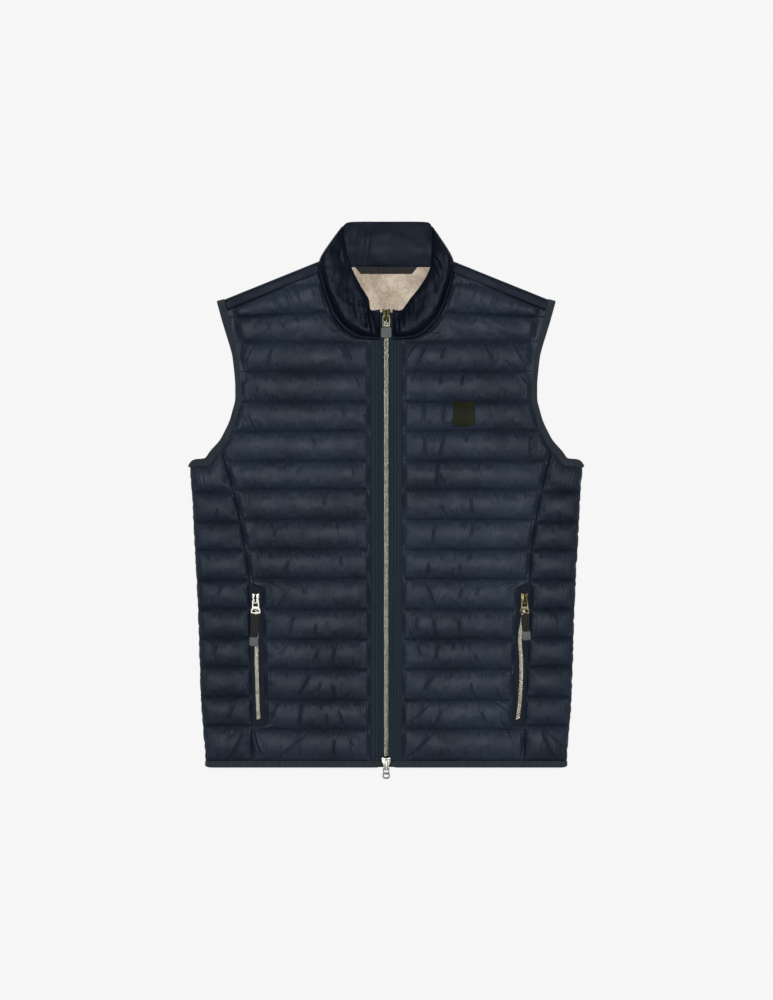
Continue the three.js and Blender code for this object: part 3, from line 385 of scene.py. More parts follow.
def satin_lining(name):
    finish = Finish(name, Sheen_Weight=0.35, Sheen_Roughness=0.3, Specular_IOR_Level=0.5)
    place = finish.place()
    tone = finish.noise(place, 26.0, 4.0).between(0.3, 0.7)
    crumple = finish.noise(place, (90, 120, 60), 4.0, 0.55, 0.6)
    folded = finish.noise(place, (75, 60, 60), 3.0, 0.6, -0.5)
    fold = (1.0 - abs(folded - 0.5)).between(0.955, 1.0)
    x, y, _ = finish.parts(place)
    weave = (x * SATIN_WEAVE).sine() * (y * SATIN_WEAVE).sine()
    normal = finish.bump(weave, 0.0001, 0.3, finish.bump(crumple - fold * 0.22, 0.0026, 0.75))
    colour = finish.blend(tone, linear(166, 148, 127), linear(208, 192, 171))
    # Along the folds the colour is darker: painted shade in the creases.
    finish.set(Base_Color=finish.blend(fold * 0.07, colour, linear(112, 96, 78)),
               Roughness=finish.noise(place, 60.0).between(0.3, 0.7, 0.4, 0.55), Normal=normal)
    return finish.material


def rubber(name):
    finish = Finish(name, Specular_IOR_Level=0.35)
    place = finish.place()
    grain = finish.noise(place, 900.0, 3.0)
    finish.set(Base_Color=finish.blend(grain.between(0.3, 0.7), linear(72, 75, 78), linear(98, 101, 102)),
               Roughness=grain.between(0.3, 0.7, 0.55, 0.7), Normal=finish.bump(grain, 0.0001, 0.6))
    return finish.material


NAVY = shell_cloth("navy quilted nylon", linear(17, 27, 40), linear(33, 44, 59), stitched=True)
# The side panels: a darker copy of the quilted nylon, painted shade.
SHADED_SIDE_NYLON = shell_cloth("navy side nylon", linear(10, 21, 34), linear(24, 35, 50), stitched=True)
NAVY_PLAIN = shell_cloth("navy plain nylon", linear(10, 17, 29), linear(22, 31, 45), 0.18)
# The collar's front cloth: the navy nylon made much darker all over, painted shade for where it slopes away from the
# light.
SHADED_COLLAR_NYLON = shell_cloth("shaded navy collar nylon", linear(1, 4, 14), linear(6, 12, 26), 0.2, dullness=(0.4, 0.48),
                          tint=linear(205, 218, 244))
COLLAR_INSIDE = shell_cloth("navy collar inside", linear(5, 11, 24), linear(13, 21, 38), 0.25)
BINDING = ribbed_tape("navy binding", linear(26, 34, 42), linear(48, 57, 66), 0.0009, 0.12)
TAPE = ribbed_tape("ribbed zip tape", linear(10, 25, 34), linear(24, 43, 53), 0.0014, 0.12, (0.0153, 0.0112))
# Darker than the shell cloth: painted shade for the pocket's recess between the puffs.
POCKET_TAPE = ribbed_tape("navy pocket tape", linear(9, 16, 28), linear(20, 29, 42), 0.0016, 0.1)
LOOP_TAPE = ribbed_tape("grey loop tape", linear(28, 27, 28), linear(50, 48, 48), 0.0012, 0.15)
STRAP = ribbed_tape("olive pull strap", linear(18, 21, 18), linear(34, 37, 32), 0.0011)
OLIVE = shell_cloth("olive patch cloth", linear(24, 25, 13), linear(42, 43, 28), 0.1)
BEIGE = satin_lining("beige lining")
CHAMPAGNE = metal("champagne teeth", linear(176, 172, 152), linear(232, 229, 214), 0.36)
NICKEL = metal("polished nickel", linear(172, 170, 162), linear(208, 206, 198), 0.34)
# The bottom slider's grooves are dark lines of painted shade.
SLIDER_NICKEL = metal("bottom slider nickel", linear(176, 174, 166), linear(212, 210, 202), 0.34,
                      [(-1.9, 0.35, -3, 11.4), (1.9, 0.35, -3, 11.4), (0, 5, 11.2, 11.8)])
BRONZE = metal("aged bronze", linear(14, 12, 7), linear(96, 88, 52), 0.34, (), 900.0)
POCKET_BRONZE = metal("olive bronze", linear(72, 68, 46), linear(118, 112, 84), 0.34)
BRASS = metal("antique brass", linear(98, 94, 74), linear(140, 135, 112), 0.34)
# Painted shade: this dark metal goes on the sliders' bridge crowns, as the shade in the slots round the bridges.
SLOT_SHADE = metal("painted slot shade", linear(20, 20, 19), linear(44, 43, 40), 0.38)
RUBBER = rubber("grey rubber")


# Mesh helpers

def to_metres(points):
    points = np.asarray(points, float).reshape(-1, 3)
    return (points - np.array([0, HEM_TO_MIDDLE, 0])) * MM


def new_piece(name, points, faces, material, along=None, sharp=()):
    """A mesh from points in millimetres; along is each point's place on the cloth, in metres."""
    mesh = bpy.data.meshes.new(name)
    mesh.from_pydata(to_metres(points).tolist(), [], faces)
    mesh.validate()
    mesh.polygons.foreach_set("use_smooth", np.ones(len(mesh.polygons), bool))
    if along is not None:
        layer = mesh.uv_layers.new(name="along")
        corner = np.empty(len(mesh.loops), int)
        mesh.loops.foreach_get("vertex_index", corner)
        layer.data.foreach_set("uv", np.asarray(along, float)[corner].ravel())
    if len(sharp):
        wanted = {tuple(sorted(pair)) for pair in sharp}
        marks = mesh.attributes.new("sharp_edge", "BOOLEAN", "EDGE")
        marks.data.foreach_set("value", [tuple(sorted(edge.vertices)) in wanted for edge in mesh.edges])
    obj = bpy.data.objects.new(name, mesh)
    bpy.context.collection.objects.link(obj)
    obj.data.materials.append(material)
    return obj


def grid_faces(rows, columns, start=0, turned=False):
    r, c = np.meshgrid(np.arange(rows - 1), np.arange(columns - 1), indexing="ij")
    a = (start + r * columns + c).ravel()
    quads = np.stack([a, a + 1, a + columns + 1, a + columns], axis=1)
    return (quads[:, ::-1] if turned else quads).tolist()


def closed_shell(outer, inner):
    """Faces of a closed form between an outer grid and an inner one with the same number of rows."""
    rows, columns = outer.shape[:2]
    inner_columns = inner.shape[1]
    start = rows * columns
    faces = grid_faces(rows, columns) + grid_faces(rows, inner_columns, start, True)
    for r in range(rows - 1):
        a, b = r * columns, (r + 1) * columns
        c, d = start + r * inner_columns, start + (r + 1) * inner_columns
        faces.append([a, b, d, c])
        faces.append([b + columns - 1, a + columns - 1, c + inner_columns - 1, d + inner_columns - 1])
    first = list(range(columns))
    first_in = [start + k for k in range(inner_columns)]
    last = [(rows - 1) * columns + k for k in range(columns)]
    last_in = [start + (rows - 1) * inner_columns + k for k in range(inner_columns)]
    faces.append(first_in + first[::-1])
    faces.append(last + last_in[::-1])
    return faces


def belongs(obj, node, slot, body="gilet"):
    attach(obj, body)
    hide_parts(node)


def closed_cloth(name, outer, inner, material, along, map_behind=False, sharp=()):
    """A closed piece of cloth between two grids, with its map."""
    points = np.concatenate([outer.reshape(-1, 3), inner.reshape(-1, 3)])
    along = along.reshape(-1, 2)
    behind = along if map_behind else np.full((inner.size // 3, 2), OFF_STITCHES)
    obj = new_piece(name, points, closed_shell(outer, inner), material, np.concatenate([along, behind]), sharp)
    faces_out(obj)
    return obj


def faces_out(obj):
    """Turns the whole piece's faces out where it came inside out."""
    mesh = obj.data
    mesh.calc_loop_triangles()
    volume = 0.0
    for tri in mesh.loop_triangles:
        a, b, c = (mesh.vertices[i].co for i in tri.vertices)
        volume += a.dot(b.cross(c))
    if volume < 0:
        mesh.flip_normals()


def finer(grid, channel):
    """Doubles a grid's rows and columns smoothly, without rounding over the stitched rows."""
    def doubled(block):
        padded = past_ends(block)
        middle = (-padded[:-3] + 9 * padded[1:-2] + 9 * padded[2:-1] - padded[3:]) / 16
        out = np.empty((2 * len(block) - 1,) + block.shape[1:])
        out[0::2], out[1::2] = block, middle
        return out
    pieces = [doubled(grid[k:k + channel + 1])[:-1] for k in range(0, len(grid) - 1, channel)]
    whole = np.concatenate(pieces + [grid[-1:]])
    return doubled(whole.swapaxes(0, 1)).swapaxes(0, 1)


# Quilted cloth

# Grid rows from one stitched row to the next
ROWS = 12
# The share of its swell that the cloth starts with, how uneven it starts, and how far the filling may move it
SLACK, UNEVEN, MOST_MOVE = 0.62, 0.04, 6.5
# How much of the filling's unevenness along a channel is taken out
EVENED = 0.55
FILLING_FRAMES = 14


def swell(share):
    return (4 * share * (1 - share)) ** SWELL_POWER


def evened(move, reach=5):
    """Takes part of a filling's unevenness along each channel out of it."""
    padded = np.pad(move, ((0, 0), (reach, reach), (0, 0)), mode="edge")
    mean = sum(padded[:, k:k + move.shape[1]] for k in range(2 * reach + 1)) / (2 * reach + 1)
    return mix(move, mean, EVENED)


def channel_place(k, channels):
    """The channel that grid row k lies in, and how far up it."""
    i = min(k // ROWS, channels - 1)
    return i, k / ROWS - i


class Quilted:
    """A quilted panel's upper cloth as a grid, its stitched rows, and the sheet behind it."""

    def __init__(self, name, flat, crest, swells, held, inside):
        self.name, self.flat, self.crest = name, flat, crest
        self.swells, self.held, self.inside = swells, held, inside
        self.grid = flat + (crest - flat) * swells[..., None]

    def lay_out(self):
        """The cloth before it is filled, slightly slack and uneven, held at its seams."""
        start = self.flat + (self.crest - self.flat) * (self.swells * SLACK)[..., None]
        rough = ripple(self.grid, 9, 3)[..., None] * (self.crest - self.flat) * UNEVEN
        start = start + rough * (1 - self.held)[..., None]
        rows, columns = start.shape[:2]
        mesh = bpy.data.meshes.new(self.name + "_slack")
        # Both hands' cloth faces up, so that the filling swells it outwards
        turned = start[0, 0, 0] > start[0, -1, 0]
        mesh.from_pydata(to_metres(start).tolist(), [], grid_faces(rows, columns, 0, turned))
        obj = bpy.data.objects.new(self.name + "_slack", mesh)
        bpy.context.collection.objects.link(obj)
        group = obj.vertex_groups.new(name="held")
        group.add(np.flatnonzero(self.held.ravel() > 0.5).tolist(), 1.0, "REPLACE")
        cloth = obj.modifiers.new("filling", "CLOTH")
        settings = cloth.settings
        settings.quality = 6
        settings.mass = 0.02
        settings.use_pressure = True
        settings.uniform_pressure_force = 34
        settings.vertex_group_mass = "held"
        settings.pin_stiffness = 1
        settings.shrink_min = -0.016
        settings.tension_stiffness = settings.compression_stiffness = 15
        settings.shear_stiffness = 4
        settings.bending_stiffness = 0.8
        settings.effector_weights.gravity = 0
        cloth.collision_settings.use_collision = False
        cloth.collision_settings.use_self_collision = False
        self.slack = obj

    def take_shape(self):
        graph = bpy.context.evaluated_depsgraph_get()
        shaped = self.slack.evaluated_get(graph)
        mesh = shaped.to_mesh()
        found = np.empty(len(mesh.vertices) * 3)
        mesh.vertices.foreach_get("co", found)
        shaped.to_mesh_clear()
        found = found.reshape(self.grid.shape) / MM + np.array([0, HEM_TO_MIDDLE, 0])
        move = evened(found - self.grid)
        length = np.linalg.norm(move, axis=2, keepdims=True)
        self.grid = self.grid + move * np.minimum(1, MOST_MOVE / np.maximum(length, 1e-6))
        bpy.data.objects.remove(self.slack)


def fill_all(panels):
    for panel in panels:
        panel.lay_out()
    scene = bpy.context.scene
    scene.frame_start, scene.frame_end = 1, FILLING_FRAMES
    for number in range(1, FILLING_FRAMES + 1):
        scene.frame_set(number)
    for panel in panels:
        panel.take_shape()
    scene.frame_set(1)


def inset_armhole(share, gap):
    rows = np.array(ARMHOLE, float)
    before = rows[np.maximum(np.arange(len(rows)) - 1, 0)]
    after = rows[np.minimum(np.arange(len(rows)) + 1, len(rows) - 1)]
    along = after[:, :2] - before[:, :2]
    along /= np.linalg.norm(along, axis=1)[:, None]
    distance = rows[:, 2] * share + gap
    # Columns are height, distance from the zip, width
    return np.stack([rows[:, 0] + along[:, 1] * distance, rows[:, 1] - along[:, 0] * distance, rows[:, 2]], axis=1)


BINDING_EDGE = inset_armhole(1, -0.7)


def neck_edge(y):
    base = curve_through([(row[0], row[1]) for row in COLLAR_FRONT], np.linspace(0, 1, 60))
    return np.interp(y, base[:, 1], base[:, 0])


def front_zip_side(y):
    return np.maximum(PANEL_EDGE, neck_edge(y) + 3 * SEAM_GAP) if y > NECK_FROM else PANEL_EDGE


def pocket_share(y):
    """1 beside the pocket, falling to 0 just past its ends."""
    return float(smooth_step((y - POCKET_LOW) / POCKET_EASE + 1) * smooth_step((POCKET_HIGH - y) / POCKET_EASE + 1))


def side_seam(hand, y):
    return float(look_up(SIDE_SEAM[hand], y))


def pocket_middle(hand, y):
    return float(look_up(POCKET_LINE[hand], y))


def front_arm_side(hand, y):
    if y > SEAM_TOP[0]:
        return float(look_up(BINDING_EDGE, y))
    return mix(side_seam(hand, y) - SEAM_GAP / 2, pocket_middle(hand, y) - POCKET_EDGE, pocket_share(y))


def side_front_side(hand, y):
    return mix(side_seam(hand, y) + SEAM_GAP / 2, pocket_middle(hand, y) + POCKET_EDGE, pocket_share(y))


# The flat strip beside the armhole: its width at the shoulder, the heights over which it grows, the rise beside it
ARM_MARGIN = 5
MARGIN_FROM, MARGIN_TO = 500, 624
MARGIN_RISE = 12
# How the stitched rows wander up and down
ROW_WOBBLE = {"size": 30, "height": 0.9}
# Share of the way across a front, and of the filling there
FRONT_FILL = [(0, 0), (0.035, 0.62), (0.12, 0.92), (0.35, 1), (0.65, 1), (0.88, 0.92), (0.965, 0.62), (1, 0)]


def front_panel(hand, sign, columns=104):
    across = np.linspace(0, 1, columns + 1)
    fill = look_up(FRONT_FILL, across)
    flat, swells = [], []
    last = len(FRONT_LINES) - 1
    for k in range(last * ROWS + 1):
        i, t = channel_place(k, last)
        inner = mix(FRONT_LINES[i][0], FRONT_LINES[i + 1][0], t)
        outer = mix(FRONT_LINES[i][1], FRONT_LINES[i + 1][1], t)
        x = mix(front_zip_side(inner), front_arm_side(hand, outer), across)
        y = mix(inner, outer, across)
        flat.append(np.stack([sign * x, y, np.full_like(x, STITCH_LEVEL)], axis=1))
        swells.append(np.full_like(x, swell(t)))
    flat, swells = np.array(flat), np.array(swells)
    wobble = ripple(flat * np.array([1, 0.2, 0]), ROW_WOBBLE["size"], 11) * ROW_WOBBLE["height"]
    flat[1:-1, :, 1] += wobble[1:-1]
    # Beside the armhole the cloth stays flat for a little way, most at the shoulder
    beside = np.abs(flat[:, -1:, 0]) - np.abs(flat[..., 0])
    margin = ARM_MARGIN * smooth_step((flat[:, -1:, 1] - MARGIN_FROM) / (MARGIN_TO - MARGIN_FROM))
    fill = fill[None, :] * np.where(margin > 0.5, smooth_step((beside - margin) / MARGIN_RISE), 1)
    crest = flat + fill[..., None] * np.array([0, 0, LOFT])
    held = np.zeros(flat.shape[:2])
    held[::ROWS] = held[:, 0] = held[:, -1] = 1
    held[(margin > 0.5) & (beside < margin)] = 1
    inside = flat[:, [0, -1]] * np.array([1, 1, 0]) + np.array([0, 0, FRONT_INSIDE])
    return Quilted("front_" + hand, flat, crest, swells, held, inside)


# The short stitched line under each shoulder, from the neck to where it meets the shoulder seam
SHORT_LINE = ((90, 664.5), (139, 657.2))
SHORT_LINE_HALF = 4.2


def off_short_line(points):
    """Distance from the short line, larger past its outer end."""
    (x0, y0), (x1, y1) = SHORT_LINE
    x, y = np.abs(points[..., 0]), points[..., 1]
    line = mix(y0, y1, (x - x0) / (x1 - x0))
    return np.abs(y - line) + np.maximum(0, x - x1)


def sew_short_line(panel):
    low = bell(off_short_line(panel.grid), SHORT_LINE_HALF)
    panel.grid[..., 2] = mix(panel.grid[..., 2], STITCH_LEVEL + 0.4, low * 0.94)


def side_section(seam_x, fold_x, back_x, loft):
    width = fold_x - seam_x
    top = lambda share: STITCH_LEVEL + LOFT * loft * share
    return np.array([(seam_x, top(0)), (seam_x + width * 0.07, top(0.62)), (seam_x + width * 0.4, top(1)),
                     (fold_x - 14, top(0.92)), (fold_x - 3.5, top(0.48)), (fold_x, LAYER_MIDDLE),
                     (fold_x - 3.5, 2.6 - loft), (fold_x - 11, 0), (back_x, 0)])


def side_panel(hand, sign, columns=72):
    flat, crest, swells, inside = [], [], [], []
    last = len(SIDE_LINES)
    lines = [(y, y) for y in SIDE_LINES] + [(SEAM_TOP[0], SIDE_TOP_OUTER)]
    shaped_from = SIDE_LINES[-1]
    for k in range(last * ROWS + 1):
        i, t = channel_place(k, last)
        inner, outer = (mix(lines[i][c], lines[i + 1][c], t) for c in (0, 1))
        outline = float(look_up(OUTLINE, outer))
        share = max(0.0, (inner - shaped_from) / (SEAM_TOP[0] - shaped_from))

        def height(x):
            edge = look_up(BINDING_EDGE[:6], np.maximum(x, SEAM_TOP[1]), 1, 0) + 1 + 3.5 * smooth_step((x - 250) / 12)
            return mix(shaped_from, edge, share) if share > 0 else np.full_like(x, inner)

        back_x = float(look_up(OUTLINE, height(np.array([outline - SIDE_WRAP]))[0])) - SIDE_WRAP
        seam_x = side_front_side(hand, inner)
        ends = []
        for loft in (0, 1):
            table = side_section(seam_x, outline - FOLD_RISE * (1 - loft), back_x, loft)
            if loft == 0:
                shares = even_shares(side_section(seam_x, outline, back_x, 1), columns + 1)
            line = curve_through(table, shares)
            line[:, 1] = np.maximum(line[:, 1], 0)
            ends.append(np.stack([sign * line[:, 0], height(line[:, 0]), line[:, 1]], axis=1))
        flat.append(ends[0])
        crest.append(ends[1])
        swells.append(np.full(columns + 1, swell(t)))
        fold = outline - FOLD_RISE
        inner_line = [(seam_x, FRONT_INSIDE), (fold - 14, FRONT_INSIDE), (fold - 7, FRONT_INSIDE),
                      (fold - 5, LAYER_MIDDLE), (fold - 7, BACK_TOP), (fold - 11, BACK_TOP), (back_x, BACK_TOP)]
        inside.append([(sign * x, float(height(np.array([x]))[0]), z) for x, z in inner_line])
    flat, crest, swells, inside = (np.array(rows) for rows in (flat, crest, swells, inside))
    held = np.zeros(flat.shape[:2])
    held[::ROWS] = held[:, 0] = 1
    held[(crest[..., 2] < 0.6)] = 1
    return Quilted("side_" + hand, flat, crest, swells, held, inside)


# Creases seen in the cloth: from x, y to x, y, and how deep
CREASES = {
    "right": [
        (133, 283, 137, 259, 1.1), (135, 241, 150, 217, 1.2), (126, 210, 132, 181, 1), (135, 170, 145, 155, 0.9),
        (95, 195, 98, 179, 0.9), (93, 162, 100, 141, 1.1), (70, 166, 75, 141, 1.1), (44, 151, 46, 135, 0.9),
        (104, 128, 121, 97, 2.1), (90, 115, 95, 104, 0.9), (74, 113, 71, 93, 1.1), (115, 86, 120, 55, 1.3),
        (66, 77, 58, 55, 1.1), (81, 73, 82, 55, 1), (113, 44, 143, 16, 2.1), (71, 38, 70, 13, 1.2),
        (49, 40, 44, 27, 1), (194, 49, 217, 9, 1.8), (210, 47, 219, 36, 1.1), (208, 88, 214, 67, 1),
        (181, 47, 170, 18, 1.6), (148, 88, 159, 67, 1.4), (159, 611, 161, 595, 0.9), (139, 611, 140, 599, 0.8),
        (184, 574, 192, 558, 1), (156, 576, 162, 549, 1.3), (63, 576, 56, 559, 1), (54, 574, 48, 555, 1.1),
        (190, 482, 180, 460, 1.1), (102, 457, 97, 441, 0.9), (42, 536, 35, 521, 0.9), (60, 495, 56, 478, 0.8),
        (176, 520, 182, 504, 0.9), (47, 415, 43, 398, 0.8), (118, 413, 121, 399, 0.7), (86, 372, 84, 356, 0.7),
        (150, 331, 154, 315, 0.8), (62, 291, 60, 275, 0.8), (109, 252, 112, 238, 0.8), (230, 352, 236, 336, 0.9),
        (226, 250, 232, 233, 0.9), (231, 171, 236, 152, 0.9)],
    "left": [
        (40, 579, 28, 561, 1.1), (55, 579, 42, 547, 1.4), (39, 541, 34, 529, 0.9), (76, 543, 74, 525, 1.1),
        (81, 577, 76, 557, 1.1), (136, 577, 148, 549, 1.3), (176, 577, 192, 549, 1.3), (162, 555, 170, 545, 0.9),
        (184, 537, 198, 521, 1.1), (106, 541, 103, 523, 1), (53, 499, 51, 475, 1.2), (80, 497, 78, 471, 1.2),
        (81, 459, 73, 425, 1.5), (112, 457, 109, 445, 0.9), (53, 455, 54, 423, 1.2), (198, 455, 196, 425, 1.1),
        (71, 417, 69, 381, 1.4), (74, 403, 82, 381, 1.1), (74, 359, 82, 343, 1), (116, 371, 116, 343, 1.2),
        (67, 333, 64, 303, 1.3), (118, 335, 115, 315, 1), (116, 295, 112, 283, 0.9), (58, 279, 57, 261, 1.1),
        (101, 278, 98, 261, 1), (56, 252, 65, 221, 1.4), (103, 250, 99, 230, 1.1), (129, 254, 123, 236, 1),
        (43, 206, 41, 186, 1.1), (65, 205, 67, 181, 1.2), (99, 203, 101, 175, 1.2), (32, 186, 39, 174, 0.9),
        (43, 170, 47, 152, 1.1), (70, 166, 68, 148, 1.1), (121, 155, 127, 141, 1), (63, 124, 52, 106, 1.9),
        (116, 115, 119, 99, 1.1), (150, 108, 156, 90, 1.1), (54, 84, 40, 66, 1.3), (75, 79, 67, 57, 1.2),
        (130, 77, 138, 57, 1.2), (59, 44, 32, 15, 2.1), (214, 48, 229, 13, 1.6), (223, 48, 242, 24, 1.3),
        (150, 90, 176, 68, 1.3), (158, 63, 170, 44, 1.4), (236, 346, 240, 328, 0.9), (230, 214, 236, 198, 0.9)],
}
CREASE_WIDTH = 1.3
CREASE_DEPTH = 1.65
CREASE_BOW = 1.2
# Share of its length over which a crease fades past each end
CREASE_FADE = 0.25
# The ridges beside a crease: their height to its depth, and their distance and width to its width
RIDGE_SHARE, RIDGE_OFF, RIDGE_WIDTH = 0.3, 2.1, 1.1


def crease(grid, lift, x0, y0, x1, y1, depth):
    """Presses in a soft trough with a low ridge on each side, which fades out at both ends."""
    length = math.hypot(x1 - x0, y1 - y0)
    x, y = np.abs(grid[..., 0]) - x0, grid[..., 1] - y0
    share = (x * (x1 - x0) + y * (y1 - y0)) / length ** 2
    bow = CREASE_BOW * math.sin(x0 + y0) * np.sin(np.pi * np.clip(share, 0, 1))
    off = (x * (y1 - y0) - y * (x1 - x0)) / length + bow
    fade = (smooth_step((share + CREASE_FADE) / (2 * CREASE_FADE))
            * smooth_step((1 + CREASE_FADE - share) / (2 * CREASE_FADE)))
    trough = bell(off, CREASE_WIDTH)
    ridges = bell(np.abs(off) - RIDGE_OFF * CREASE_WIDTH, RIDGE_WIDTH * CREASE_WIDTH)
    grid += lift * (CREASE_DEPTH * depth * fade * (RIDGE_SHARE * ridges - trough))[..., None]


# Each gather's reach into the cloth, half its width, its lean, its share of the depth, and the gap to the next one
GATHER = {"reach": (7, 20), "half": (0.7, 1.1), "lean": (-0.25, 0.3), "share": (0.35, 1), "gap": (4, 13)}
GATHER_SEEDS = {"right": 41, "left": 43}


def gather(grid, lift, channel, seed, depth):
    """Draws the cloth into short fine gathers on both sides of every stitched row."""
    chance = np.random.default_rng(seed)
    place = cloth_lengths(grid) / MM
    for line in range(0, len(grid), channel):
        for way in (-1, 1):
            step = np.linalg.norm(grid[min(line + 2, len(grid) - 1)] - grid[max(line - 2, 0)], axis=1).mean() / 4
            at = chance.uniform(2, 6)
            while at < place[line, -1] - 2:
                reach, half, lean, share = (chance.uniform(*GATHER[key]) for key in ("reach", "half", "lean", "share"))
                for k in range(1, int(reach / step) + 1):
                    row = line + way * k
                    if 0 <= row < len(grid):
                        fade = math.sin(math.pi * min(1, (k + 0.6) * step / reach)) ** 0.8
                        off = place[line] - at - way * lean * k * step
                        dip = bell(off, half) - RIDGE_SHARE * bell(np.abs(off) - 2.2 * half, half)
                        grid[row] -= lift[row] * (depth * share * fade * dip)[:, None]
                at += chance.uniform(*GATHER["gap"])


def cloth_lengths(grid):
    """Each point's distance along its row, in metres."""
    step = np.linalg.norm(np.diff(grid, axis=1), axis=2)
    return np.concatenate([np.zeros((len(grid), 1)), np.cumsum(step, axis=1)], axis=1) * MM


def near_face(grid):
    """1 on the face of the garment, falling to 0 where the cloth turns under."""
    return smooth_step((grid[..., 2:] - LAYER_MIDDLE) / 3)


def sewn(panel, material, depth, floor=0.0):
    """The finished padded panel, closed behind, with a map of distances to its stitching.

    No point of its upper cloth lies under the floor that is given.
    """
    grid = finer(panel.grid, ROWS)
    outward = finer(panel.crest - panel.flat + np.array([0, 0, 1e-3]), ROWS)
    outward /= np.maximum(np.linalg.norm(outward, axis=2, keepdims=True), 1e-6)
    hand = panel.name.split("_")[1]
    for row in CREASES[hand]:
        crease(grid, outward * near_face(grid), *row)
    gather(grid, outward, 2 * ROWS, GATHER_SEEDS[hand], depth)
    # The sheet behind gets the same number of rows
    inside = np.array(panel.inside)
    between = (inside[1:] + inside[:-1]) / 2
    inside = np.insert(inside, np.arange(1, len(inside)), between, axis=0)
    grid[..., 2] = np.maximum(grid[..., 2], floor)
    along = cloth_lengths(grid)
    flat = finer(panel.flat, ROWS)
    down = np.linalg.norm(np.diff(flat, axis=0), axis=2)
    height = np.concatenate([np.zeros((1, grid.shape[1])), np.cumsum(down, axis=0)]) * MM
    count = 2 * ROWS
    away = np.empty_like(height)
    for r in range(len(grid)):
        low = (r // count) * count
        high = min(low + count, len(grid) - 1)
        away[r] = np.minimum(height[r] - height[low], height[high] - height[r])
    if panel.name.startswith("front"):
        away = np.minimum(away, off_short_line(flat) * MM)
    sharp = [(r * grid.shape[1] + c, r * grid.shape[1] + c + 1)
             for r in range(0, len(grid), count) for c in range(grid.shape[1] - 1)]
    obj = closed_cloth(panel.name + "_cloth", grid, inside, material, np.stack([along, away], axis=2), sharp=sharp)
    belongs(obj, panel.name, "shell")


HANDS = (("right", -1), ("left", 1))
GATHER_DEPTH = {"front": 1.15, "side": 0.8}
fronts = [front_panel(hand, sign) for hand, sign in HANDS]
sides = [side_panel(hand, sign) for hand, sign in HANDS]
fill_all(fronts + sides)
for panel in fronts:
    sew_short_line(panel)
    sewn(panel, NAVY, GATHER_DEPTH["front"], STITCH_LEVEL - 0.8)
for panel in sides:
    # The sides' darker nylon is painted shade.
    sewn(panel, SHADED_SIDE_NYLON, GATHER_DEPTH["side"])


def shoulder_point(along, down):
    return SHOULDER_NECK + SHOULDER_ALONG * along + SHOULDER_DOWN * down


def shoulder_start(down):
    return mix(SHOULDER_START["fold"], SHOULDER_START["front"], down / SHOULDER_FRONT)


def shoulder_end(down):
    start, end = BINDING_EDGE[-2, [1, 0]], BINDING_EDGE[-1, [1, 0]]
    edge, gap = end - start, start - shoulder_point(0, down)
    return (gap[0] * edge[1] - gap[1] * edge[0]) / (SHOULDER_ALONG[0] * edge[1] - SHOULDER_ALONG[1] * edge[0])


def shoulder_strip(hand, sign):
    steps, section = 64, 26
    shares = np.linspace(0, 1, section)
    table = curve_through(SHOULDER_SECTION, shares)
    outer, inner = [], []
    for i in range(steps + 1):
        def place(down, z):
            plan = shoulder_point(mix(shoulder_start(down), shoulder_end(down), i / steps), down)
            return (sign * plan[0], plan[1], max(z, 0))
        outer.append([place(row[0], row[1]) for row in table])
        inner.append([place(row[2], row[3]) for row in table[:: section - 1]])
    outer, inner = np.array(outer), np.array(inner)
    outer[1:-1, 1:16, 2] += ripple(outer[1:-1, 1:16], 14, 5) * 0.5
    along = np.stack([cloth_lengths(outer.swapaxes(0, 1)).T, np.full(outer.shape[:2], OFF_STITCHES / 2)], axis=2)
    obj = closed_cloth(f"shoulder_{hand}_cloth", outer, inner, NAVY_PLAIN, along)
    belongs(obj, f"shoulder_{hand}", "shell")


for hand, sign in HANDS:
    shoulder_strip(hand, sign)


# Back panel

def back_half(y):
    seam = SHOULDER_BACK + SEAM_GAP
    outer_end = shoulder_point(shoulder_end(seam), seam)
    neck_end = shoulder_point(shoulder_start(seam), seam)
    if y >= neck_end[1]:
        return neck_end[0]
    if y >= outer_end[1]:
        return mix(outer_end[0], neck_end[0], (y - outer_end[1]) / (neck_end[1] - outer_end[1]))
    side = float(look_up(OUTLINE, y)) - SIDE_WRAP - 2 * SEAM_GAP
    return side if y < BINDING_EDGE[0][0] else min(side, float(look_up(BINDING_EDGE, y)))


def back_panel():
    """The back, flat on the floor, with a shallow groove at every stitched row."""
    rows = [row[0] for row in FRONT_LINES[:-1]] + [BACK_LAST_LINE, BACK_EDGE]
    steps, columns = 10, 81
    heights, away = [], []
    for low, high in zip(rows, rows[1:]):
        for step in range(steps):
            y = mix(low, high, step / steps)
            heights.append(y)
            away.append(min(y - low, high - y))
    heights.append(BACK_EDGE)
    away.append(0)
    across = np.linspace(-1, 1, columns)
    outer = np.array([[(x * back_half(y), y, 0.0) for x in across] for y in heights])
    outer[..., 2] += BACK_GROOVE["depth"] * bell(np.array(away), BACK_GROOVE["half"])[:, None]
    outer[:, [0, -1], 2] = BACK_SIDE_LEVEL
    outer[:, [1, -2], 2] = 0.4
    inner = np.array([[(x * back_half(y), y, BACK_TOP if abs(x) < 1 else BACK_SIDE_LEVEL) for x in (-1, -0.96, 0.96, 1)]
                      for y in heights])
    along = np.stack([cloth_lengths(outer), np.array(away)[:, None] * MM + np.zeros(len(across))], axis=2)
    belongs(closed_cloth("back_cloth", outer, inner, NAVY, along), "back", "shell")


back_panel()


# Collar

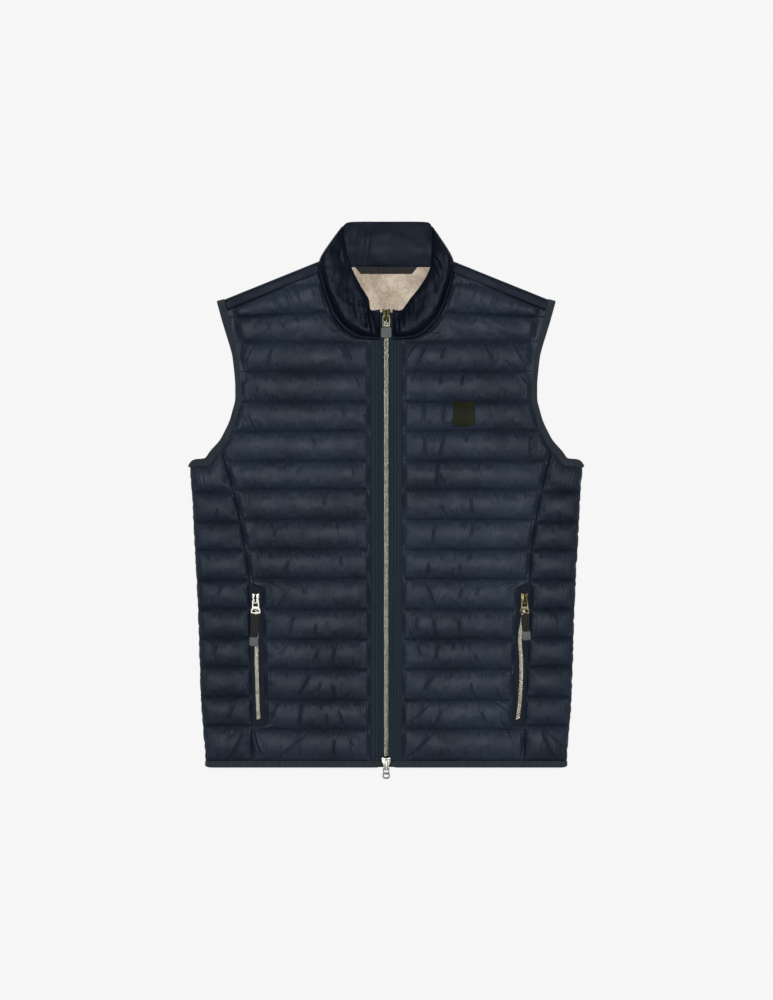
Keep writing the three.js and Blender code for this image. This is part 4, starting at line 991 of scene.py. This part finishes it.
def collar_half(top_column):
    """The sections of half a collar, with the top edge on one side, from the zip round to the middle of the back."""
    outer, inner = [], []

    def section(base, top, place, filling=COLLAR_THICK):
        points = [place(np.array([mix(base[0], top[0], at), mix(base[1], top[1], at)]), thick)
                  for at, thick in filling]
        outer.append([p[0] for p in points])
        inner.append([p[1] for p in points])

    front = np.array(COLLAR_FRONT)[:, [0, 1, top_column, 4, 5, 6]]
    for bx, by, tx, ty, full, under in curve_through(front, np.linspace(0, 1, 15)):
        section((bx, by), (tx, ty), lambda p, k: ((*p, under + k * full), (*p, under)))
    base, top = front[-1, :2], front[-1, 2:4]
    middle, slant = COLLAR_MIDDLE, math.sqrt(0.5)

    def out(p, distance):
        return tuple(p + COLLAR_FOLD_OUT * distance)

    def reach(thick):
        return COLLAR_FOLD_REACH["least"] + COLLAR_FOLD_REACH["share"] * thick

    section(base, top, lambda p, k: ((*out(p, reach(k) * slant), middle + k * slant), (*out(p, 0.3), middle + 0.1)))
    section(base, top, lambda p, k: ((*out(p, reach(k)), middle), (*out(p, 0.5), middle)))
    section(base, top, lambda p, k: ((*out(p, reach(k) * slant), max(0, middle - k) / 2),
                                     (*out(p, 0.3), (middle + k - 0.2) / 2)))
    for row in COLLAR_BACK:
        section(row[:2], (row[top_column], row[4]), lambda p, k: ((*p, 0), (*p, k)), COLLAR_BACK_THICK)
    return np.array(outer), np.array(inner)


def collar_rows():
    """Grids of the collar's outer and inner cloth, from the zip round the back to the zip again."""
    left, right = collar_half(3), collar_half(2)
    flip = np.array([-1, 1, 1])
    return [np.concatenate([one, (other[:-1] * flip)[::-1]]) for one, other in zip(left, right)]


def dense(grid, rows, columns):
    grid = curve_through(grid, np.linspace(0, 1, rows))
    return curve_through(grid.swapaxes(0, 1), np.linspace(0, 1, columns)).swapaxes(0, 1)


def collar():
    outer, inner = (dense(grid, COLLAR_ROWS, COLLAR_COLUMNS) for grid in collar_rows())
    across = np.linspace(0, 1, COLLAR_COLUMNS)
    body = np.sin(np.pi * across)[None, :] ** 0.7
    upward = outer[..., 2] > COLLAR_UPPER
    for bump_size, seed, bump_height in COLLAR_RIPPLES:
        outer[..., 2] += ripple(outer, bump_size, seed) * bump_height * body * upward
    for x0, y0, x1, y1, depth in COLLAR_CREASES:
        here = upward * (outer[..., 0] * x0 > 0) * (outer[..., 1] < COLLAR_LEAN_FROM)
        crease(outer, here[..., None] * np.array([0, 0, 1.0]), abs(x0), y0, abs(x1), y1, depth)
    back = (inner[..., 1] > BACK_EDGE) & (inner[..., 2] > 2)
    relief = ripple(inner, 16, 9)
    for at, half, depth, lean in COLLAR_BACK_CREASES:
        off = inner[..., 0] - lean * (inner[..., 1] - COLLAR_LEAN_FROM) - at
        relief = relief - depth * bell(off, half)
    inner[..., 2] += relief * body * back
    outer[..., 2] = np.maximum(outer[..., 2], 0)
    along = np.stack([cloth_lengths(outer.swapaxes(0, 1)).T,
                      np.broadcast_to(np.minimum(across, 1 - across) * 0.05, outer.shape[:2])], axis=2)
    # Its outer cloth is the darker collar nylon, which carries painted shade.
    obj = closed_cloth("collar_cloth", outer, inner, SHADED_COLLAR_NYLON, along, map_behind=True)
    obj.data.materials.append(COLLAR_INSIDE)
    for face in obj.data.polygons:
        face.material_index = int(min(face.vertices) >= outer[..., 0].size)
    belongs(obj, "collar", "shell")


collar()


# Bindings, tapes and the other flat pieces

# Share of a band's half width that its rounded edge takes up
EDGE_ROUND = 0.16


def ribbon(points, across, half_width, half_wall, closed):
    """A tape along a path: a rounded flat section, carried along with its width direction."""
    points, across = np.asarray(points, float), np.asarray(across, float)
    count = len(points)
    if closed:
        ahead = np.roll(points, -1, 0) - np.roll(points, 1, 0)
    else:
        ahead = np.gradient(points, axis=0)
    ahead /= np.linalg.norm(ahead, axis=1)[:, None]
    across = across - ahead * np.sum(across * ahead, axis=1)[:, None]
    across /= np.linalg.norm(across, axis=1)[:, None]
    up = np.cross(ahead, across)
    # The section: one rounded edge and the upper side, then the same turned round
    corner = [(math.cos(a), math.sin(a)) for a in np.linspace(-math.pi / 2, math.pi / 2, 6)]
    half_loop = np.array([(1 - EDGE_ROUND + EDGE_ROUND * c, s) for c, s in corner] + [(w, 1) for w in (0.5, 0, -0.5)])
    loop = np.concatenate([half_loop, -half_loop])
    half_width = np.broadcast_to(half_width, count)[:, None, None]
    half_wall = np.broadcast_to(half_wall, count)[:, None, None]
    grid = (points[:, None] + loop[None, :, :1] * half_width * across[:, None]
            + loop[None, :, 1:] * half_wall * up[:, None])
    sides = len(loop)
    faces = []
    for i in range(count if closed else count - 1):
        j = (i + 1) % count
        for k in range(sides):
            m = (k + 1) % sides
            faces.append([i * sides + k, i * sides + m, j * sides + m, j * sides + k])
    if not closed:
        faces.append(list(range(sides))[::-1])
        faces.append([(count - 1) * sides + k for k in range(sides)])
    length = np.concatenate([[0], np.cumsum(np.linalg.norm(np.diff(points, axis=0), axis=1))]) * MM
    place = np.stack([np.broadcast_to(length[:, None], (count, sides)),
                      loop[None, :, 0] * half_width[:, :, 0] * MM + np.zeros((count, sides))], axis=2)
    return grid.reshape(-1, 3), faces, place.reshape(-1, 2)


def band_turn(t, reach):
    """How far past the edge and how high a binding is on its way round it, t from 0 on top to 1 below."""
    return reach * math.sin(math.pi * t), mix(BAND["lower"], BAND["upper"], (1 + math.cos(math.pi * t)) / 2)


def turn_wall(t):
    return BAND["upper_wall"] + BAND["thickening"] * t


def sewn_band(node, points, across, widths, walls, closed):
    points, faces, place = ribbon(points, across, widths, walls, closed)
    points[:, 2] = np.maximum(points[:, 2], 0)
    obj = new_piece(node + "_tape", points, faces, BINDING, place)
    faces_out(obj)
    belongs(obj, node, "binding")


def armhole_binding(hand, sign):
    """One band round the armhole: along the front layer, over the shoulder, along the back, and under the arm."""
    path = inset_armhole(0.5, 0)
    smooth = curve_through(path, even_shares(path[:, :2], 130))
    plan, widths = smooth[:, [1, 0]], smooth[:, 2] / 2
    along = np.gradient(plan, axis=0)
    along /= np.linalg.norm(along, axis=1)[:, None]

    def run(z, wall):
        return [(*plan[i], z, *along[i], widths[i], wall) for i in range(len(plan))]

    def turn(end, way, reach):
        rows = []
        for t in BAND_TURN_STEPS:
            ahead, z = band_turn(t if way > 0 else 1 - t, reach)
            rows.append((*(plan[end] + along[end] * way * ahead), z, *along[end], widths[end], turn_wall(t)))
        return rows

    rows = np.array(run(BAND["upper"], BAND["upper_wall"]) + turn(-1, 1, BAND["turn"])
                    + run(BAND["lower"], BAND["lower_wall"])[::-1] + turn(0, -1, BAND["underarm_turn"]))
    points = rows[:, :3] * np.array([sign, 1, 1])
    across = np.stack([-rows[:, 4] * sign, rows[:, 3], np.zeros(len(rows))], axis=1)
    sewn_band("armhole_binding_" + hand, points, across, rows[:, 5], rows[:, 6], True)


def hem_binding():
    """One band along the hem: from the zip, round the side folds, and under the back."""
    fold = OUTLINE[0][1] - BAND["upper_wall"]
    run_end = fold - BAND["turn"]
    half = [(x, BAND["upper"], BAND["upper_wall"]) for x in np.linspace(HEM_END, run_end, 60)]
    for t in BAND_TURN_STEPS:
        ahead, z = band_turn(t, BAND["turn"])
        half.append((run_end + ahead, z, turn_wall(t)))
    half += [(x, BAND["lower"], BAND["lower_wall"]) for x in np.linspace(run_end, 0, 60)]
    whole = np.array(half + [(-x, z, wall) for x, z, wall in half[-2::-1]])
    off_zip = np.abs(whole[:, 0])
    # Narrower beside the zip on the front, and rounded at the folds
    beside_zip = smooth_step((off_zip - HEM_END) / 5) + (whole[:, 1] < 8)
    widths = HEM_HALF * (1 - 0.5 * (1 - np.minimum(1, beside_zip)) ** 2)
    widths -= 0.9 * np.clip((off_zip - fold + 6) / 6, 0, 1) ** 2
    points = np.stack([whole[:, 0], 2 * HEM_HALF - widths, whole[:, 1]], axis=1)
    sewn_band("hem_binding", points, np.tile([0, 1, 0], (len(points), 1)), widths, whole[:, 2], False)


for hand, sign in HANDS:
    armhole_binding(hand, sign)
hem_binding()


def flat_cloth(name, node, outer, wall, material, slot, flat, area):
    """A thin cloth from a grid of its upper face. Its flat size and its area, in metres, are not used."""
    inner = outer - np.array([0, 0, wall])
    along = np.stack([cloth_lengths(outer.swapaxes(0, 1)).T, cloth_lengths(outer)], axis=2)
    obj = closed_cloth(name, outer, inner, material, along, map_behind=True)
    belongs(obj, node, slot)


def neck_lining():
    low, high = LINING[0][0], LINING[-1][0]
    rows = np.linspace(low, high, 55)
    halves = look_up(LINING, rows)
    outer = np.array([[(x * half, y, LINING_TOP) for x in np.linspace(-1, 1, 75)] for y, half in zip(rows, halves)])
    outer[1:-1, 1:-1, 2] += ripple(outer[1:-1, 1:-1], 16, 21, (1.6, 0.8, 1)) * 0.35
    flat_cloth("neck_lining_cloth", "neck_lining", outer, LINING_WALL, BEIGE, "lining",
               (2 * halves.max() * MM, (high - low) * MM), float(np.trapz(2 * halves, rows)) * 1e-6)


def hanger_loop():
    low, high = LOOP["low"], LOOP["high"]
    rows = np.linspace(low, high, 9)
    halves = mix(LOOP["half_low"], LOOP["half_high"], (rows - low) / (high - low))
    outer = np.array([[(x * half, y, LOOP["top"]) for x in np.linspace(-1, 1, 60)] for y, half in zip(rows, halves)])
    outer[..., 2] += 0.25 * np.sin(outer[..., 0] / 9)
    flat_cloth("hanger_loop_tape", "hanger_loop", outer, LOOP["wall"], LOOP_TAPE, "loop",
               (LOOP["flat"][0] * MM, LOOP["flat"][1] * MM),
               (LOOP["half_low"] + LOOP["half_high"]) * (high - low) * 1e-6)


neck_lining()
hanger_loop()

# Zip tapes and pockets' tapes

def tape_grid(middle, low, high, from_x, to_x, z, seed, columns=14):
    """The upper face of a tape between two distances from its middle line, slightly rippled."""
    rows = np.linspace(low, high, int((high - low) / 3) + 2)
    across = np.linspace(from_x, to_x, columns)
    grid = np.array([[(middle(y) + x, y, z) for x in across] for y in rows])
    grid[..., 2] += ripple(grid, TAPE_RIPPLE["size"], seed) * TAPE_RIPPLE["height"]
    return grid


def sewn_tape(node, grid, wall, material):
    grid = grid if grid[0, 0, 0] < grid[0, -1, 0] else grid[:, ::-1]
    widths = np.ptp(grid[..., 0], axis=1)
    flat_cloth(node + "_cloth", node, grid, wall, material, "zip_tape",
               (float(widths.max()) * MM, float(np.ptp(grid[..., 1])) * MM),
               float(np.trapz(widths, grid[:, 0, 1])) * MM * MM)


def zip_tape(hand, sign):
    plan = ZIP_TAPE_PLAN
    grid = tape_grid(lambda y: 0, plan["low"], plan["high"], sign * plan["inner"], sign * plan["outer"], plan["top"],
                     31, 16)
    grid[..., 2] -= TAPE_SINK["depth"] * smooth_step((TAPE_SINK["out_to"] - np.abs(grid[..., 0])) / TAPE_SINK["over"])
    sewn_tape("zip_tape_" + hand, grid, plan["wall"], TAPE)


def pocket_tape(hand, sign):
    plan = POCKET_TAPE_PLAN
    low, high, half = plan["low"], plan["high"], plan["half"]
    grid = tape_grid(lambda y: sign * pocket_middle(hand, y), low, high, -half, half, plan["top"], 33, 12)
    heights = grid[:, :1, 1]
    narrow = np.clip(np.minimum(heights - low + 1, high + 1 - heights) / plan["taper"], 0.06, 1)
    middle = np.array([sign * pocket_middle(hand, y) for y in grid[:, 0, 1]])[:, None]
    grid[..., 0] = middle + (grid[..., 0] - middle) * narrow
    sewn_tape("pocket_tape_" + hand, grid, plan["wall"], POCKET_TAPE)


for hand, sign in HANDS:
    zip_tape(hand, sign)
    pocket_tape(hand, sign)


# Hard pieces

SMOOTH_BELOW = math.radians(38)
# How much each hard piece's edges are rounded
SLIDER_ROUND, PULL_ROUND, STRAP_ROUND, RUBBER_ROUND = 0.45, 0.4, 0.5, 0.8
# A tooth's share of the chain's width; its head: how far out, and how much narrower and lower; its rounding
TOOTH_SHARE = 0.47
HEAD = {"out": 0.5, "narrower": 0.55, "lower": 0.7, "round": 0.22}
# The first tooth's distance from the chain's end, as a share of the pitch
FIRST_TOOTH = 0.35


def pick(obj):
    bpy.ops.object.select_all(action="DESELECT")
    obj.select_set(True)
    bpy.context.view_layer.objects.active = obj


def rounded(obj, width, segments=2, angle=30):
    pick(obj)
    bevel = obj.modifiers.new("soft edges", "BEVEL")
    bevel.width = width * MM
    bevel.segments = segments
    bevel.limit_method = "ANGLE"
    bevel.angle_limit = math.radians(angle)
    bpy.ops.object.modifier_apply(modifier=bevel.name)
    bpy.ops.object.shade_smooth_by_angle(angle=SMOOTH_BELOW)


def refined(node, name, material, round_by, body, slot, segments=2):
    """A copy of a hard piece, its doubled corners merged and its edges softly rounded."""
    obj = bpy.data.objects.new(name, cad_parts[node].data.copy())
    bpy.context.collection.objects.link(obj)
    obj.data.materials.clear()
    obj.data.materials.append(material)
    pick(obj)
    bpy.ops.object.mode_set(mode="EDIT")
    bpy.ops.mesh.select_all(action="SELECT")
    bpy.ops.mesh.remove_doubles(threshold=1e-6)
    bpy.ops.mesh.dissolve_limited(angle_limit=math.radians(1))
    bpy.ops.object.mode_set(mode="OBJECT")
    rounded(obj, round_by, segments)
    belongs(obj, node, slot, body)
    return obj


def darkened(obj, material, test):
    """Gives a second material to the faces that the test picks by their x and z: here painted shade on the sliders'
    bridge crowns.
    """
    obj.data.materials.append(material)
    for face in obj.data.polygons:
        if test(face.center.x / MM, face.center.z / MM):
            face.material_index = 1


# The bridges' crowns over the sliders' bodies, and half the top one's width. The faces above them are painted with
# shade, for the dark slots round the bridges.
POCKET_CROWN = 14.6
TOP_CROWN, TOP_CROWN_HALF = 15.3, 0.9
FRONT_TEETH = {"low": 15.4, "high": 612.2, "z": 11.5, "pitch": 2.728, "width": 6.2, "height": 2.3, "share": 0.36}
POCKET_TEETH = {"low": 66, "high": 222.5, "z": 11.8, "pitch": 2.5, "width": 5.4, "height": 2.2, "share": 0.46}
# The way each pocket's chain wanders: height, and distance from the front zip
POCKET_CHAIN = {
    "right": [(64, 174.2), (90, 175.3), (120, 176.2), (150, 177), (180, 176.9), (205, 176.9), (224, 177.6)],
    "left": [(64, 179), (86.6, 182), (119, 184), (148, 184.3), (167, 182.7), (182, 182.9), (200, 185.6), (224, 188.6)],
}


def tooth(width, length, height):
    """One metal tooth, its head towards +x."""
    bpy.ops.object.select_all(action="DESELECT")
    bpy.ops.mesh.primitive_cube_add(size=1, location=(0, 0, 0))
    obj = bpy.context.object
    bpy.ops.transform.resize(value=(width * MM, length * MM, height * MM))
    bpy.ops.object.transform_apply(location=True, rotation=True, scale=True)
    bpy.ops.object.mode_set(mode="EDIT")
    bpy.ops.mesh.select_all(action="DESELECT")
    bpy.ops.mesh.select_mode(type="FACE")
    bpy.ops.object.mode_set(mode="OBJECT")
    for face in obj.data.polygons:
        face.select = face.normal.x > 0.9
    bpy.ops.object.mode_set(mode="EDIT")
    bpy.ops.mesh.extrude_region_move(TRANSFORM_OT_translate={"value": (HEAD["out"] * MM, 0, 0)})
    bpy.ops.transform.resize(value=(1, HEAD["narrower"], HEAD["lower"]))
    bpy.ops.object.mode_set(mode="OBJECT")
    rounded(obj, HEAD["round"], 1, 25)
    points = np.array([v.co[:] for v in obj.data.vertices]) / MM
    faces = [list(f.vertices) for f in obj.data.polygons]
    bpy.data.objects.remove(obj)
    return points, faces


def chain(node, name, middle, low, high, z, pitch, width, height, share):
    """A closed row of teeth: two columns that take turns, along a line that may wander."""
    points, faces = tooth(width * TOOTH_SHARE, pitch * share, height)
    all_points, all_faces = [], []
    count = int((high - low - pitch) / (pitch / 2))
    for i in range(count):
        side = 1 if i % 2 else -1
        y = low + pitch * FIRST_TOOTH + i * pitch / 2
        placed = points * np.array([-side, 1, 1]) + np.array([middle(y) + side * width * TOOTH_SHARE / 2, y, z])
        base = len(all_points) * len(points)
        all_faces += [[base + k for k in (face[::-1] if side > 0 else face)] for face in faces]
        all_points.append(placed)
    obj = new_piece(name, np.concatenate(all_points), all_faces, CHAMPAGNE)
    pick(obj)
    bpy.ops.object.shade_smooth_by_angle(angle=SMOOTH_BELOW)
    belongs(obj, node, "teeth")


chain("zip_chain", "zip_teeth", lambda y: 0.0, **FRONT_TEETH)
for hand, sign in HANDS:
    path = curve_through(POCKET_CHAIN[hand], np.linspace(0, 1, 80))
    chain("pocket_chain_" + hand, f"pocket_teeth_{hand}",
          lambda y: sign * float(np.interp(y, path[:, 0], path[:, 1])), **POCKET_TEETH)

top_slider = refined("slider_top", "top_slider_body", BRONZE, SLIDER_ROUND, "gilet", "bronze")
refined("pull_top", "top_pull_frame", BRASS, PULL_ROUND, "pull_top", "bronze")
refined("pull_tab_top", "top_pull_tab", RUBBER, RUBBER_ROUND, "pull_top", "rubber", 3)
refined("slider_bottom", "bottom_slider_body", SLIDER_NICKEL, SLIDER_ROUND, "gilet", "nickel")
refined("pull_bottom", "bottom_pull_drop", NICKEL, PULL_ROUND, "pull_bottom", "nickel")
for hand, sign, metal_finish, slot in (("right", -1, NICKEL, "nickel"), ("left", 1, POCKET_BRONZE, "bronze")):
    body = "pocket_pull_" + hand
    slider = refined("pocket_slider_" + hand, f"pocket_slider_body_{hand}", metal_finish, SLIDER_ROUND, "gilet", slot)
    # The bridge's crown is painted with shade, for the dark slot round it.
    darkened(slider, SLOT_SHADE, lambda x, z: z > POCKET_CROWN)
    refined(body, f"pocket_pull_plate_{hand}", metal_finish, PULL_ROUND, body, slot)
    refined("pocket_strap_" + hand, f"pocket_strap_cloth_{hand}", STRAP, STRAP_ROUND, body, "strap")
    refined("pocket_tip_" + hand, f"pocket_tip_rubber_{hand}", RUBBER, RUBBER_ROUND, body, "rubber", 3)
# The top slider's bridge crown is painted with shade, for the dark slot round it.
darkened(top_slider, SLOT_SHADE, lambda x, z: z > TOP_CROWN and abs(x) < TOP_CROWN_HALF)


# Chest patch

def chest_patch():
    """The bare patch, laid on the filled cloth under it, with each point's distance from its border in its map."""
    panel = fronts[1].grid.reshape(-1, 3)
    x0, y0, w, h = PATCH["x"], PATCH["y"], PATCH["width"], PATCH["height"]
    near = panel[(np.abs(panel[:, 0] - x0) < w) & (np.abs(panel[:, 1] - y0) < h)]
    columns, rows = 27, 29
    reach, corner_from = 3.4, 0.82
    grid = np.zeros((rows, columns, 3))
    away = np.zeros((rows, columns))
    for r, t in enumerate(np.linspace(-1, 1, rows)):
        for c, u in enumerate(np.linspace(-1, 1, columns)):
            corner = max(0, min(abs(t), abs(u)) - corner_from) / (1 - corner_from)
            pull = 1 - 0.05 * corner ** 2
            x, y = x0 + u * pull * w / 2, y0 + t * pull * h / 2
            weight = np.exp(-((near[:, 0] - x) ** 2 + (near[:, 1] - y) ** 2) / (2 * reach ** 2))
            grid[r, c] = (x, y, np.sum(weight * near[:, 2]) / np.sum(weight) + PATCH["lift"])
            away[r, c] = min(w / 2 - abs(x - x0), h / 2 - abs(y - y0)) * MM
    along = np.stack([cloth_lengths(grid) + cloth_lengths(grid.swapaxes(0, 1)).T, away], axis=2)
    inner = grid - np.array([0, 0, PATCH["wall"]])
    obj = closed_cloth("chest_patch_cloth", grid, inner, OLIVE, along, map_behind=True)
    belongs(obj, "chest_patch", "patch")


chest_patch()

# Floor, light and camera

bpy.ops.object.select_all(action="DESELECT")
bpy.ops.mesh.primitive_plane_add(size=24, location=(0, 0, -0.0002))
floor = bpy.context.object
floor.name = "floor"
paper = Finish("pale floor", Roughness=0.9, Specular_IOR_Level=0.0, Emission_Strength=0.885,
               Emission_Color=(1.0, 1.0, 1.0, 1.0))
grain = paper.noise(paper.place(), 3.0).between(0.3, 0.7)
paper.set(Base_Color=paper.blend(grain, linear(58, 58, 58), linear(60, 60, 60)))
floor.data.materials.append(paper.material)


def soft_light(name, place, size, power, target=(0, 0, 0)):
    bpy.ops.object.light_add(type="AREA", location=place)
    lamp = bpy.context.object
    lamp.name = name
    lamp.data.shape = "DISK"
    lamp.data.size = size
    lamp.data.energy = power
    lamp.rotation_euler = (Vector(target) - Vector(place)).to_track_quat("-Z", "Y").to_euler()


soft_light("overhead", (-0.15, 0.42, 3.35), 1.0, 78)
soft_light("filler", (1.9, -1.5, 2.3), 1.8, 7)

bpy.context.scene.view_settings.view_transform = "Standard"
world = bpy.data.worlds.new("studio")
bpy.context.scene.world = world
world.use_nodes = True
world.node_tree.nodes["Background"].inputs[0].default_value = (1, 1, 1, 1)
world.node_tree.nodes["Background"].inputs[1].default_value = 0.22

# In metres: the camera over the floor, the cloth's upper side, and how much of the floor the picture takes in
CAMERA_HEIGHT = 4.0
CLOTH_HEIGHT = 0.015
VIEW_HEIGHT = 1.364
SENSOR = 36
bpy.ops.object.camera_add(location=(0.0004, 0.0003, CAMERA_HEIGHT), rotation=(0, 0, 0))
camera = bpy.context.object
camera.data.sensor_width = SENSOR
camera.data.lens = SENSOR * (CAMERA_HEIGHT - CLOTH_HEIGHT) / VIEW_HEIGHT
bpy.context.scene.camera = camera
